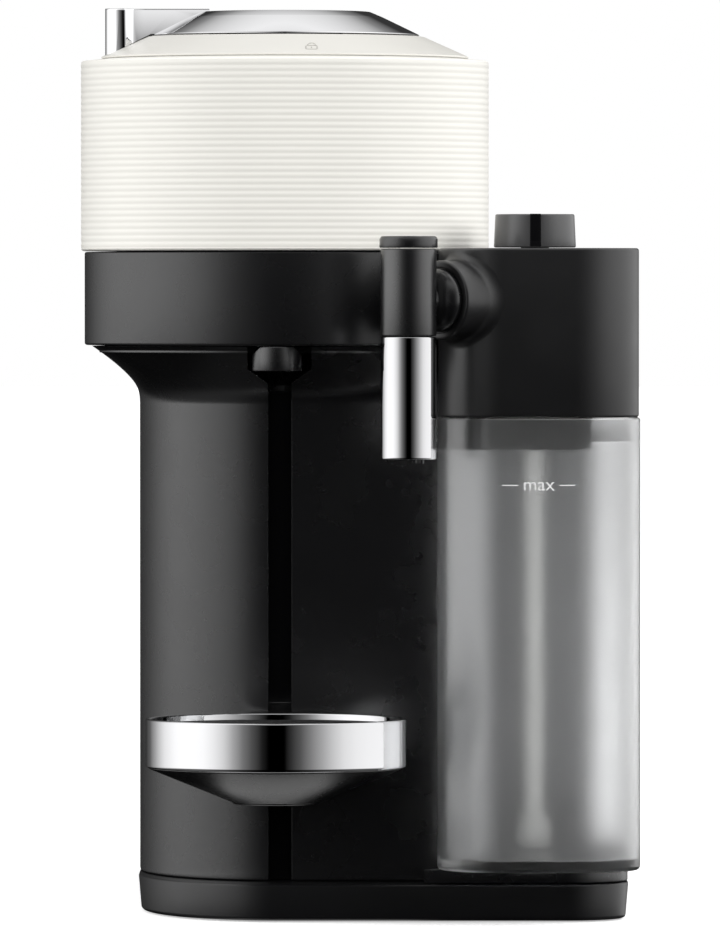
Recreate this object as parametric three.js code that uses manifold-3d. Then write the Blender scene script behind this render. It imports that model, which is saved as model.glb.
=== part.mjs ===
// Pod coffee machine with a milk carafe, modelled as an assembly of separate pieces.
// Millimetres, +Z up, front of the machine towards -Y. The pieces are laid out about the
// axis of the round brewing head, and the whole group is then moved so that its origin is
// the centre of the footprint's bounding box at table height.
import * as THREE from "three";
import { mergeVertices } from "three/addons/utils/BufferGeometryUtils.js";
import Module from "manifold-3d";

const wasm = await Module();
wasm.setup();

// ---------------------------------------------------------------- driving dimensions

const GAP = 0.3; // clearance between pieces that rest on each other
const ROUND = 24; // facets of an ordinary turned piece
const LARGE_ROUND = 40; // facets of the head, the collar and the cup support
const WALL = 2.6; // moulded housing wall

const ORIGIN = { x: 26.4, y: 80.325 }; // footprint centre, measured from the head axis

const BASE = {
  left: -53, right: 122.6, front: -58, dockBack: 88, stepX: 72.8, back: 295,
  bottom: 0.5, top: 13.5, frontRoundX: 50.6, frontRoundY: 77, rightRound: 22, backRound: 14,
};
const FOOT = { radius: 8, height: 3.6, recess: 0.3 };
const FLOOR_Z = BASE.top + GAP; // underside of everything that stands on the base

const COLUMN = {
  left: -52.9, front: -40, right: 72.3, back: 76, roundX: 50.3, roundY: 76.5,
  flareStart: 183.4, top: 204.1, neckRadius: 69.4, plate: 2.6, shaftHole: 14,
};
const SLOT = { x: -2.5, width: 8.6, bottom: 17, neck: 191, cup: 196, cupWidth: 22.6 };
const RAIL = { width: 17, front: -29.8, thickness: 3, top: 188 };

const COLLAR = { radius: 72, wall: 2.6, bottom: 204.4, top: 238.6, floor: 3, mouth: 62 };
const OUTLET = { x: -2.8, y: -64.6, radius: 8.8, bottom: 195.5, chamfer: 3, bore: 2.6 };
const DRAIN_Y = -52; // where the coffee leaves the collector, behind the outlet's bore

const DRUM = { radius: 73.3, wall: 2.6, bottom: 238.9, top: 305.7, corner: 3.2 };
const DOME = { outerRadius: 64.2, outerZ: 307.4, innerRadius: 49.5, innerZ: 315, thickness: 2.4 };
const CAP = { radius: 49, foot: 315.4, breakRadius: 35.2, breakZ: 322.1, rim: 30.7, top: 324 };
const PANEL = { radius: 28, top: 322.8, thickness: 3.6, stem: 21 };
const LEVER = { tip: -64.4, root: -31, halfWidth: 14, top: 325, bottom: 309, corner: 5, lift: 0.8 };
const COFFEE_BUTTON = { radius: 9, top: 324.3, travel: 1.5 };
const RECIPE_BUTTON = { radius: 4.2, orbit: 18.5, angles: [-50, -130], travel: 1 };
const HINGE = { y: 80, z: 242, barrel: 5, pin: 2, halfLength: 30, lug: 6 };

const SUPPORT = {
  x: -2.5, y: -88.5, radius: 45.85, wall: 1.7, bottom: 57, top: 73.2, coneFoot: 15.7, coneZ: 43.6,
};
const GRID = { radius: 43.6, top: 71.5, thickness: 1.6, hole: 1.7, rings: [14, 30] };

const JUG = {
  x: 90.2, halfWidth: 35.9, front: -87.4, back: 15, cradle: 75.5, frontRound: 24, backRound: 8,
  bottom: 19.1, top: 178.9, floor: 23, wall: 2.2,
};
const LID = { inset: 0.5, bottom: 179.2, top: 238.9, wall: 2.4 };
const PLUG = {
  left: 58.6, right: 106, front: -83.1, back: 6, leftRound: 19.8, rightRound: 12, bottom: 167.8,
};
const DIAL = { x: 89, y: -51.5, radius: 14.55, topRadius: 14.05, bottom: 239.2, top: 251, stem: 5 };
const SPOUT = {
  x: 44, y: -97.5, z: 220.5, radius: 9.8, top: 238.6, capTop: 243, capRadius: 10.2,
  sleeveRadius: 9.7, sleeveTop: 207.7, sleeveBottom: 164.8, nozzleBottom: 163.2,
};
const BOSS = { distance: 15.2, radius: 14.05, bore: 6.4, flange: 11.4 };

const HOUSING = { top: 232, backY: 198, round: 14 };
const DECK = { bottom: 232.3, top: 236 };
const BIN = { x0: -36, x1: 56, y0: 132, y1: 192, bottom: 60, top: 236.3, wall: 1.8, round: 10 };
const TANK = { x0: -44, x1: 64, y0: 201.5, y1: 293.5, bottom: 21, top: 222, wall: 2, round: 16 };
const DOCK = { x0: 72.7, x1: 113, y0: 16.5, y1: 86, top: 236, round: 6 };
const STEAM = { x: 92, z: 206, radius: 6.5, sealRadius: 9, bore: 2.2 };

const MOTOR = { radius: 25.5, neck: 22, bottom: 146, top: 196, shaftBore: 5.6, bevel: 4 };
const HOLDER = { seat: 212, depth: 2.4, throat: 16, mouth: 33.5, brim: 35.5, top: 235 };
const PUMP = { x: 38, y: 84, z: 48, radius: 16, length: 52, port: 8, overPorts: 86 };
const HEATER = { x: -18, y: 88, z: 74, radius: 24, height: 70 };
const METER = { x: 40, y: 30, radius: 11, bottom: 96, top: 110 };
const BOARD_PLACE = { x: -46, thickness: 1.6, y0: 30, y1: 120, z0: 120, z1: 180 };
const INLET = { x0: -33.5, x1: -10.5, z0: 20.5, z1: 41.5, depth: 18.5 };
const HOSE_RADIUS = 2.2;

// ---------------------------------------------------------------- finishes

const finish = (color, roughness, metalness = 0, more = {}) =>
  new THREE.MeshStandardMaterial({ color, roughness, metalness, ...more });
const CREAM = finish(0xf3f1ea, 0.4);
const BLACK = finish(0x1b1b1c, 0.55);
const GLOSS_BLACK = finish(0x0d0d0e, 0.12);
const CHROME = finish(0xd8d9db, 0.08, 1);
const STEEL = finish(0x9a9c9e, 0.35, 1);
const RUBBER = finish(0x151515, 0.9);
const FROSTED = finish(0xc9cacb, 0.45, 0, { transparent: true, opacity: 0.6 });
const CLEAR = finish(0xdfe6ea, 0.08, 0, { transparent: true, opacity: 0.35 });
const SILICONE = finish(0xd5d5d2, 0.7);
const BOARD = finish(0x1f5a35, 0.6);

// ---------------------------------------------------------------- solid helpers

// A closed three.js geometry as a solid, whichever way round its outline was drawn.
function solidOf(geometry) {
  const bare = geometry.clone();
  bare.deleteAttribute("normal");
  bare.deleteAttribute("uv");
  const merged = mergeVertices(bare, 1e-4);
  const triVerts = new Uint32Array(merged.index.array);
  const vertProperties = merged.getAttribute("position").array;
  const made = new wasm.Manifold(new wasm.Mesh({ numProp: 3, vertProperties, triVerts }));
  if (made.volume() >= 0) return made;
  for (let i = 0; i < triVerts.length; i += 3) {
    [triVerts[i + 1], triVerts[i + 2]] = [triVerts[i + 2], triVerts[i + 1]];
  }
  return new wasm.Manifold(new wasm.Mesh({ numProp: 3, vertProperties, triVerts }));
}

function geometryOf(solid) {
  const mesh = solid.getMesh();
  const geometry = new THREE.BufferGeometry();
  geometry.setAttribute("position", new THREE.BufferAttribute(mesh.vertProperties, 3));
  geometry.setIndex(new THREE.BufferAttribute(mesh.triVerts, 1));
  const flat = geometry.toNonIndexed();
  flat.computeVertexNormals();
  return flat;
}

const join = (first, ...others) =>
  geometryOf(others.reduce((sum, g) => sum.add(solidOf(g)), solidOf(first)));

const cut = (first, ...others) =>
  geometryOf(others.reduce((rest, g) => rest.subtract(solidOf(g)), solidOf(first)));

// A solid of revolution about Z from [radius, z] pairs.
function turned(profile, segments = ROUND) {
  const points = profile.map(([r, z]) => new THREE.Vector2(r, z));
  return new THREE.LatheGeometry(points, segments).rotateX(Math.PI / 2);
}

// A ring of revolution: the profile is closed back to its first point.
const ring = (profile, segments) => turned([...profile, profile[0]], segments);

const disc = (radius, z0, z1, segments) =>
  turned([[0, z0], [radius, z0], [radius, z1], [0, z1]], segments);

const tubeRing = (inner, outer, z0, z1, segments) =>
  ring([[inner, z0], [outer, z0], [outer, z1], [inner, z1]], segments);

function box(x0, x1, y0, y1, z0, z1) {
  const made = new THREE.BoxGeometry(x1 - x0, y1 - y0, z1 - z0);
  return made.translate((x0 + x1) / 2, (y0 + y1) / 2, (z0 + z1) / 2);
}

// An outline in plan, given as points, extruded between two heights.
function prism(points, z0, z1) {
  const options = { depth: z1 - z0, bevelEnabled: false };
  return new THREE.ExtrudeGeometry(new THREE.Shape(points), options).translate(0, 0, z0);
}

// An outline in the XZ plane, extruded from y0 back to y1.
function uprightPrism(xz, y0, y1) {
  const shape = new THREE.Shape(xz.map(([x, z]) => new THREE.Vector2(x, z)));
  const made = new THREE.ExtrudeGeometry(shape, { depth: y1 - y0, bevelEnabled: false });
  return made.rotateX(Math.PI / 2).translate(0, y1, 0);
}

// Moves each point of an outline sideways: inwards on a counter-clockwise outline.
function inset(points, distance, closed = true) {
  const count = points.length;
  return points.map((point, i) => {
    const before = points[closed ? (i + count - 1) % count : Math.max(i - 1, 0)];
    const after = points[closed ? (i + 1) % count : Math.min(i + 1, count - 1)];
    const a = point.clone().sub(before).normalize();
    const b = after.clone().sub(point).normalize();
    if (a.lengthSq() === 0) a.copy(b);
    if (b.lengthSq() === 0) b.copy(a);
    const along = a.clone().add(b).normalize();
    const stretch = distance / Math.max(0.5, along.dot(a));
    return new THREE.Vector2(point.x - along.y * stretch, point.y + along.x * stretch);
  });
}

// A solid through stacked outlines that all have the same number of points.
function loft(sections) {
  const count = sections[0].points.length;
  const positions = sections.flatMap(({ points, z }) => points.flatMap((p) => [p.x, p.y, z]));
  const faces = [];
  for (let level = 0; level + 1 < sections.length; level++) {
    for (let i = 0; i < count; i++) {
      const a = level * count + i;
      const b = level * count + ((i + 1) % count);
      faces.push(a, b, b + count, a, b + count, a + count);
    }
  }
  const top = (sections.length - 1) * count;
  for (const [a, b, c] of THREE.ShapeUtils.triangulateShape(sections[0].points, [])) {
    faces.push(c, b, a);
  }
  for (const [a, b, c] of THREE.ShapeUtils.triangulateShape(sections.at(-1).points, [])) {
    faces.push(top + a, top + b, top + c);
  }
  const geometry = new THREE.BufferGeometry();
  geometry.setAttribute("position", new THREE.Float32BufferAttribute(positions, 3));
  geometry.setIndex(faces);
  return geometry;
}

// A wall that follows an open outline, as a closed outline.
const wallOutline = (path, wall) => [...path, ...inset(path, wall, false).reverse()];

function roundedRectangle(x0, x1, y0, y1, radius, divisions = 3) {
  const path = new THREE.Path();
  path.absarc(x1 - radius, y0 + radius, radius, -Math.PI / 2, 0);
  path.absarc(x1 - radius, y1 - radius, radius, 0, Math.PI / 2);
  path.absarc(x0 + radius, y1 - radius, radius, Math.PI / 2, Math.PI);
  path.absarc(x0 + radius, y0 + radius, radius, Math.PI, Math.PI * 1.5);
  return path.getPoints(divisions);
}

function hose(points, radius) {
  const curve = new THREE.CatmullRomCurve3(points.map((p) => new THREE.Vector3(...p)));
  const section = new THREE.Shape();
  section.absarc(0, 0, radius, 0, Math.PI * 2);
  const steps = Math.ceil(curve.getLength() / (radius * 5));
  return new THREE.ExtrudeGeometry(section, { steps, extrudePath: curve, curveSegments: 4 });
}

function piece(name, geometry, material) {
  if (!geometry.getAttribute("normal")) geometry.computeVertexNormals();
  const mesh = new THREE.Mesh(geometry, material);
  mesh.name = name;
  return mesh;
}

function group(...children) {
  const made = new THREE.Group();
  made.add(...children);
  return made;
}

// ---------------------------------------------------------------- outlines in plan

function baseOutline() {
  const b = BASE;
  const path = new THREE.Path();
  path.absellipse(
    b.left + b.frontRoundX, b.front + b.frontRoundY, b.frontRoundX, b.frontRoundY,
    Math.PI, Math.PI * 1.5,
  );
  path.absarc(b.right - b.rightRound, b.front + b.rightRound, b.rightRound, -Math.PI / 2, 0);
  path.absarc(b.right - b.backRound, b.dockBack - b.backRound, b.backRound, 0, Math.PI / 2);
  path.lineTo(b.stepX, b.dockBack);
  path.absarc(b.stepX - b.backRound, b.back - b.backRound, b.backRound, 0, Math.PI / 2);
  path.absarc(b.left + b.backRound, b.back - b.backRound, b.backRound, Math.PI / 2, Math.PI);
  return path.getPoints(4);
}

// The open path of the column's outside: left side, round the front, right side.
function columnPath() {
  const c = COLUMN;
  const frontRight = Math.sqrt(c.right ** 2 - c.front ** 2);
  const path = new THREE.Path();
  path.moveTo(c.left, c.back);
  for (const y of [62, 50]) path.lineTo(c.left, y);
  path.absellipse(
    c.left + c.roundX, c.front + c.roundY, c.roundX, c.roundY, Math.PI, Math.PI * 1.5,
  );
  for (const x of [16, 34, 48]) path.lineTo(x, c.front);
  path.absarc(0, 0, c.right, Math.atan2(c.front, frontRight), 0);
  path.lineTo(c.right, c.back);
  return path.getPoints(4);
}

// The same path, spread towards the round neck under the collar by a share from 0 to 1.
function flaredPath(share) {
  const { neckRadius } = COLUMN;
  return columnPath().map((point) => {
    const target = point.clone();
    if (point.y > 0 && point.x < 0 && point.y < neckRadius) {
      target.x = Math.min(point.x, -Math.sqrt(neckRadius ** 2 - point.y ** 2));
    }
    if (point.y <= 0 && point.length() < neckRadius) target.setLength(neckRadius);
    return point.lerp(target, share);
  });
}

// How far the flare has opened at a height share u: a soft start, then a straight slope.
function flareShare(u) {
  const bend = 0.22;
  const softness = 0.15;
  const rise = (v) => v - bend + Math.hypot(v - bend, softness);
  return (rise(u) - rise(0)) / (rise(1) - rise(0));
}

// The jug's outline: flat front with soft corners, straight sides, and a hollow behind the
// left side that keeps clear of the round collar beside it.
function jugOutline() {
  const j = JUG;
  const left = j.x - j.halfWidth;
  const right = j.x + j.halfWidth;
  const corner = j.front + j.frontRound;
  const meeting = -Math.acos(left / j.cradle);
  const rear = Math.asin(j.back / j.cradle);
  const path = new THREE.Path();
  path.absarc(left + j.frontRound, corner, j.frontRound, Math.PI, Math.PI * 1.5);
  path.absarc(right - j.frontRound, corner, j.frontRound, -Math.PI / 2, 0);
  path.absarc(right - j.backRound, j.back - j.backRound, j.backRound, 0, Math.PI / 2);
  path.absarc(0, 0, j.cradle, rear, meeting, true);
  return path.getPoints(5);
}

// ---------------------------------------------------------------- base and tower

function basePlate() {
  const outline = baseOutline();
  const body = loft([
    { points: inset(outline, 1.6), z: BASE.bottom },
    { points: inset(outline, 0.5), z: BASE.bottom + 0.5 },
    { points: outline, z: BASE.bottom + 1.6 },
    { points: outline, z: BASE.top },
  ]);
  const recesses = footPlaces().map(({ x, y }) =>
    disc(FOOT.radius + FOOT.recess, 0, FOOT.height + FOOT.recess).translate(x, y, 0));
  return piece("base_plate", cut(body, ...recesses), BLACK);
}

const footPlaces = () => [
  { name: "foot_front_left", x: -22, y: -14 },
  { name: "foot_front_right", x: 104, y: -38 },
  { name: "foot_back_left", x: -36, y: 276 },
  { name: "foot_back_right", x: 56, y: 276 },
];

const feet = () => footPlaces().map(({ name, x, y }) =>
  piece(name, disc(FOOT.radius, 0, FOOT.height).translate(x, y, 0), RUBBER));

// The raised seat that the jug stands on, flush with the front of the base. It is moulded
// in one with the milk dock behind it.
function jugSeat() {
  const radius = JUG.cradle + 0.5;
  const front = BASE.front + 0.5;
  const right = BASE.right - 0.2;
  const back = DOCK.y0 + 1;
  const round = 14;
  const path = new THREE.Path();
  path.absarc(right - round, front + round, round, -Math.PI / 2, 0);
  path.lineTo(right, back);
  path.absarc(0, 0, radius, Math.asin(back / radius), Math.asin(front / radius), true);
  return prism(path.getPoints(8), FLOOR_Z, JUG.bottom - GAP);
}

function columnShell() {
  const levels = [0, 0.2, 0.4, 0.6, 1];
  const wallAt = (share) => wallOutline(flaredPath(share), WALL);
  const sections = [{ points: wallAt(0), z: FLOOR_Z }];
  for (const u of levels) {
    const z = COLUMN.flareStart + u * (COLUMN.top - COLUMN.flareStart);
    sections.push({ points: wallAt(flareShare(u)), z });
  }
  const plate = prism(inset(flaredPath(1), 0.4, false), COLUMN.top - COLUMN.plate, COLUMN.top);
  const halfSlot = SLOT.width / 2;
  const halfCup = SLOT.cupWidth / 2;
  const inFront = -COLUMN.neckRadius - 5;
  const slot = uprightPrism([
    [SLOT.x - halfSlot, SLOT.bottom], [SLOT.x + halfSlot, SLOT.bottom],
    [SLOT.x + halfSlot, SLOT.neck], [SLOT.x + halfCup, SLOT.cup],
    [SLOT.x + halfCup, COLUMN.top + 1], [SLOT.x - halfCup, COLUMN.top + 1],
    [SLOT.x - halfCup, SLOT.cup], [SLOT.x - halfSlot, SLOT.neck],
  ], inFront, RAIL.front);
  const shaftHole = disc(COLUMN.shaftHole, COLUMN.top - 10, COLUMN.top + 1);
  return piece("column_shell", cut(join(loft(sections), plate), slot, shaftHole), BLACK);
}

// The glossy strip seen in the slot: the cup support's foot runs in front of it.
function guideRail() {
  const half = RAIL.width / 2;
  const back = RAIL.front + RAIL.thickness;
  const strip = box(SLOT.x - half, SLOT.x + half, RAIL.front, back, FLOOR_Z, RAIL.top);
  return piece("guide_rail", strip, GLOSS_BLACK);
}

function brewCollar() {
  const c = COLLAR;
  const inner = c.radius - c.wall;
  const shell = ring([
    [COLUMN.shaftHole, c.bottom], [c.radius, c.bottom], [c.radius, c.top], [c.mouth, c.top],
    [c.mouth, c.top - c.wall], [inner, c.top - c.wall], [inner, c.bottom + c.floor],
    [COLUMN.shaftHole, c.bottom + c.floor],
  ], LARGE_ROUND);
  const drain = disc(3.4, c.bottom - 1, c.bottom + c.floor + 1, 16)
    .translate(OUTLET.x, DRAIN_Y, 0);
  return piece("brew_collar", cut(shell, drain), BLACK);
}

// The annular trough that catches the coffee thrown out of the spinning capsule.
function coffeeCollector() {
  const z = COLLAR.bottom + COLLAR.floor + GAP;
  const trough = ring([
    [38, z], [60, z], [60, z + 24], [58, z + 24], [58, z + 2], [40, z + 2], [40, z + 18],
    [38, z + 18],
  ]);
  const drain = disc(3, z - 1, z + 3, 16).translate(OUTLET.x, DRAIN_Y, 0);
  return piece("coffee_collector", cut(trough, drain), GLOSS_BLACK);
}

// The round spout under the collar, with a channel in its top from the drain to its bore.
function coffeeOutlet() {
  const { x, y, radius, bottom, chamfer, bore } = OUTLET;
  const top = COLUMN.top;
  const body = turned([
    [0, bottom], [radius, bottom], [radius, top - chamfer], [radius - chamfer, top], [0, top],
  ]).translate(x, y, 0);
  const hole = disc(bore, bottom - 1, top + 1, 16).translate(x, y, 0);
  const channel = box(x - bore, x + bore, y, DRAIN_Y + 1, top - 3, top + 1);
  return piece("coffee_outlet", cut(body, hole, channel), GLOSS_BLACK);
}

// ---------------------------------------------------------------- capsule drive

function driveTrain() {
  const m = MOTOR;
  const shaftDepth = 20;
  const motorProfile = [
    [0, m.bottom], [m.neck, m.bottom], [m.radius, m.bottom + m.bevel], [m.radius, m.top - 6],
    [m.neck, m.top], [m.shaftBore, m.top], [m.shaftBore, m.top - shaftDepth],
    [0, m.top - shaftDepth],
  ];
  const bearing = tubeRing(m.shaftBore, COLUMN.shaftHole - GAP, 201.5, 207.2);
  return [
    piece("spin_motor", turned(motorProfile), STEEL),
    piece("rotor_bearing", bearing, STEEL),
  ];
}

function capsuleRotor() {
  const h = HOLDER;
  const holder = turned([
    [0, h.seat], [h.throat, h.seat], [h.mouth, h.seat + 10], [h.mouth, h.top - 4],
    [h.brim, h.top - 3], [h.brim, h.top], [h.mouth - 2.3, h.top], [h.mouth - 2.3, h.seat + 11],
    [h.throat - 1, h.seat + h.depth], [0, h.seat + h.depth],
  ]);
  return [
    piece("drive_shaft", disc(5, MOTOR.top - 19, h.seat - GAP, 20), STEEL),
    piece("capsule_holder", holder, GLOSS_BLACK),
  ];
}

// ---------------------------------------------------------------- rear of the machine

function housingPath() {
  const { round, backY } = HOUSING;
  const front = COLUMN.back + GAP;
  const path = new THREE.Path();
  path.moveTo(COLUMN.right, front);
  path.lineTo(COLUMN.right, backY - round);
  path.absarc(COLUMN.right - round, backY - round, round, 0, Math.PI / 2);
  path.absarc(COLUMN.left + round, backY - round, round, Math.PI / 2, Math.PI);
  path.lineTo(COLUMN.left, front);
  return path.getPoints(3);
}

function rearHousing() {
  const walls = prism(wallOutline(housingPath(), WALL), FLOOR_Z, HOUSING.top);
  const inletHole = box(
    INLET.x0 - 0.5, INLET.x1 + 0.5, HOUSING.backY - 8, HOUSING.backY + 1, INLET.z0 - 0.5,
    INLET.z1 + 0.5,
  );
  const hoseHole = box(8, 22, HOUSING.backY - 8, HOUSING.backY + 1, 14.5, 24);
  return piece("rear_housing", cut(walls, inletHole, hoseHole), BLACK);
}

// The flat deck behind the head, with the lugs that carry the head's hinge pin.
function rearDeck() {
  const front = COLUMN.back + GAP;
  const plate = prism(housingPath(), DECK.bottom, DECK.top);
  const inside = WALL + GAP;
  const frontWall = box(
    COLUMN.left + inside, COLUMN.right - inside, front, front + WALL, COLUMN.top + GAP,
    DECK.bottom + 1,
  );
  const lugs = [-1, 1].map((side) => {
    const middle = side * (HINGE.halfLength + GAP + HINGE.lug / 2);
    return box(
      middle - HINGE.lug / 2, middle + HINGE.lug / 2, HINGE.y - HINGE.barrel + 1.6,
      HINGE.y + HINGE.barrel, DECK.top - 1, HINGE.z + HINGE.barrel,
    );
  });
  const pinHole = pinAlongX(HINGE.pin + GAP, HINGE.halfLength + 10);
  const barrelRoom = pinAlongX(HINGE.barrel + 0.8, HINGE.halfLength + 0.3);
  const binMouth = prism(
    roundedRectangle(BIN.x0 - 1, BIN.x1 + 1, BIN.y0 - 1, BIN.y1 + 1, BIN.round),
    DECK.bottom - 1, DECK.top + 1,
  );
  const made = cut(join(plate, frontWall, ...lugs), pinHole, barrelRoom, binMouth);
  return piece("rear_deck", made, BLACK);
}

// A cylinder on the hinge line of the head.
function pinAlongX(radius, halfLength, segments = 20) {
  const made = new THREE.CylinderGeometry(radius, radius, halfLength * 2, segments);
  return made.rotateZ(Math.PI / 2).translate(0, HINGE.y, HINGE.z);
}

const hingePin = () => {
  const halfLength = HINGE.halfLength + HINGE.lug;
  return piece("hinge_pin", pinAlongX(HINGE.pin, halfLength, 16), STEEL);
};

function capsuleBin() {
  const outside = roundedRectangle(BIN.x0, BIN.x1, BIN.y0, BIN.y1, BIN.round);
  const inside = inset(outside, BIN.wall);
  const shell = cut(
    prism(outside, BIN.bottom, BIN.top),
    prism(inside, BIN.bottom + BIN.wall, BIN.top + 1),
    box(BIN.x0 + 14, BIN.x1 - 14, BIN.y0 - 1, BIN.y0 + 5, BIN.top - 46, BIN.top - 8),
  );
  const margin = 3;
  const cover = prism(
    roundedRectangle(
      BIN.x0 - margin, BIN.x1 + margin, BIN.y0 - margin, BIN.y1 + margin, BIN.round + margin,
    ),
    BIN.top, BIN.top + 4.7,
  );
  return piece("capsule_bin", join(shell, cover), BLACK);
}

function waterTank() {
  const t = TANK;
  const outside = roundedRectangle(t.x0, t.x1, t.y0, t.y1, t.round);
  const centreX = (t.x0 + t.x1) / 2;
  const valveY = t.y0 + 22;
  const valveHole = disc(5.3, t.bottom - 1, t.bottom + 10, 20).translate(centreX, valveY, 0);
  const shell = cut(
    prism(outside, t.bottom, t.top), prism(inset(outside, t.wall), t.bottom + 3, t.top + 1),
    valveHole,
  );
  const valve = turned([
    [0, 15.2], [6, 15.2], [8, 17], [8, t.bottom - GAP], [5, t.bottom - GAP], [5, t.bottom + 8],
    [0, t.bottom + 8],
  ], 20).translate(centreX, valveY, 0);
  const cover = join(
    prism(inset(outside, -1), t.top + GAP, t.top + 5),
    prism(inset(outside, t.wall + 0.5), t.top - 4, t.top + 1),
  );
  const socketPlate = roundedRectangle(t.x0 - 2, t.x1 + 2, t.y0 - 1, t.y1 + 1, t.round);
  const socket = cut(
    prism(socketPlate, FLOOR_Z, t.bottom - GAP),
    disc(9, FLOOR_Z + 1, t.bottom, 20).translate(centreX, valveY, 0),
  );
  return {
    standing: [piece("tank_socket", socket, BLACK)],
    tank: [piece("water_tank", shell, CLEAR), piece("tank_valve", valve, BLACK)],
    lid: [piece("tank_lid", cover, BLACK)],
  };
}

// ---------------------------------------------------------------- water and power parts

function waterworks() {
  const p = PUMP;
  const pump = join(
    new THREE.CylinderGeometry(p.radius, p.radius, p.length, 20).translate(p.x, p.y, p.z),
    new THREE.CylinderGeometry(p.port, p.port, p.overPorts, 16).translate(p.x, p.y, p.z),
    box(p.x - 14, p.x + 14, p.y - 18, p.y + 18, p.z - 16, p.z + 16),
  );
  const h = HEATER;
  const heater = join(
    disc(h.radius, h.z - h.height / 2, h.z + h.height / 2, 32).translate(h.x, h.y, 0),
    box(h.x - 14, h.x + 14, h.y - 28, h.y + 28, h.z - 28, h.z - 14),
  );
  const m = METER;
  const meter = join(
    disc(m.radius, m.bottom, m.top).translate(m.x, m.y, 0),
    box(m.x - 14, m.x + 14, m.y - 3, m.y + 3, m.bottom + 3, m.top - 4),
  );
  const b = BOARD_PLACE;
  const face = b.x + b.thickness;
  const board = join(
    box(b.x, face, b.y0, b.y1, b.z0, b.z1), box(face - 0.4, face + 6.4, 42, 60, 140, 158),
    box(face - 0.4, face + 8.4, 80, 108, 130, 150),
  );
  const inletBack = HOUSING.backY - 1.5;
  const inletFront = inletBack - INLET.depth;
  const inlet = join(
    box(INLET.x0, INLET.x1, inletFront, inletBack, INLET.z0, INLET.z1),
    box(INLET.x0 + 2.5, INLET.x1 - 2.5, inletFront - 8, inletFront + 1, INLET.z0 + 2.5, INLET.z1 - 2.5),
  );
  return [
    piece("water_pump", pump, STEEL),
    piece("thermoblock", heater, STEEL),
    piece("flow_meter", meter, BLACK),
    piece("control_board", board, BOARD),
    piece("power_inlet", inlet, BLACK),
    piece("water_hose", hose([
      [15, 199.8, 18.5], [15, 186, 18.6], [26, 160, 19], [40, 132, 20], [40, 112, 24],
      [38, 98, 30],
    ], HOSE_RADIUS), SILICONE),
    piece("brew_hose", hose([
      [-18, 124.5, 80], [-18, 128, 100], [-16, 126, 150], [-10, 112, 200], [-8, 96, 226],
    ], HOSE_RADIUS), SILICONE),
    piece("steam_hose", hose([
      [9, 90, 82], [24, 96, 110], [44, 92, 150], [58, 74, 186], [66, 62, 196],
    ], HOSE_RADIUS), SILICONE),
  ];
}

// The upright block beside the tower that feeds steam into the back of the milk lid.
function milkDock() {
  const d = DOCK;
  const outline = roundedRectangle(d.x0, d.x1, d.y0, d.y1, d.round);
  const body = cut(
    prism(outline, FLOOR_Z, d.top), prism(inset(outline, WALL), FLOOR_Z - 1, d.top - WALL),
    alongY(STEAM.radius + GAP, d.y0 - 1, d.y0 + 8),
  );
  const nozzle = cut(
    alongY(STEAM.radius, JUG.back + GAP, d.y0 + 16),
    alongY(STEAM.bore, JUG.back - 1, d.y0 + 12),
  );
  const seal = cut(
    alongY(STEAM.sealRadius, JUG.back + GAP, d.y0 - 0.2),
    alongY(STEAM.radius + GAP, JUG.back - 1, d.y0 + 1),
  );
  return [
    piece("milk_dock", join(body, jugSeat()), BLACK),
    piece("steam_nozzle", nozzle, STEEL),
    piece("steam_seal", seal, SILICONE),
  ];
}

// A cylinder on the steam connection's axis.
function alongY(radius, y0, y1) {
  const made = new THREE.CylinderGeometry(radius, radius, y1 - y0, ROUND);
  return made.translate(STEAM.x, (y0 + y1) / 2, 0).translate(0, 0, STEAM.z);
}

// ---------------------------------------------------------------- brewing head

function headPieces() {
  const d = DRUM;
  const inner = d.radius - d.wall;
  const shell = ring([
    [inner, d.bottom], [d.radius - d.corner, d.bottom], [d.radius, d.bottom + d.corner],
    [d.radius, d.top], [inner, d.top],
  ], LARGE_ROUND);
  const hingeNotch = box(-25, 25, 55, 80, d.bottom - 1, 248.4);
  const slope = (DOME.innerZ - DOME.outerZ) / (DOME.outerRadius - DOME.innerRadius);
  const underside = (r) => DOME.outerZ + (DOME.outerRadius - r) * slope - DOME.thickness;
  const dome = ring([
    [DOME.outerRadius - 3.6, d.top + GAP], [d.radius - 0.4, d.top + GAP],
    [DOME.outerRadius, DOME.outerZ], [DOME.innerRadius, DOME.innerZ],
    [DOME.innerRadius - 2, DOME.innerZ - 2.6],
    [DOME.innerRadius - 2, underside(DOME.innerRadius - 2) - 0.6],
  ], LARGE_ROUND);
  const basePlateZ = d.bottom + 1.4;
  const plate = tubeRing(12.6, inner - 0.6, basePlateZ, basePlateZ + 3.4);
  const seal = tubeRing(62.6, 66, COLLAR.top + 0.2, basePlateZ - 0.2);
  const pierce = turned([
    [0, 233], [1.2, 236.2], [11, 237], [12, 239], [12, 246], [0, 246],
  ]);
  const tongue = box(-24, 24, 48, HINGE.y, 244.2, 247.4);
  const barrel = pinAlongX(HINGE.barrel, HINGE.halfLength);
  const hinge = cut(join(tongue, barrel), pinAlongX(HINGE.pin + GAP, HINGE.halfLength + 5));
  return [
    piece("drum_shell", cut(shell, hingeNotch), CREAM),
    piece("dome_ring", dome, CREAM),
    piece("head_base", plate, BLACK),
    piece("head_seal", seal, SILICONE),
    piece("pierce_plate", pierce, STEEL),
    piece("head_hinge", hinge, BLACK),
    piece("control_panel", controlPanel(), GLOSS_BLACK),
  ];
}

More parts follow.
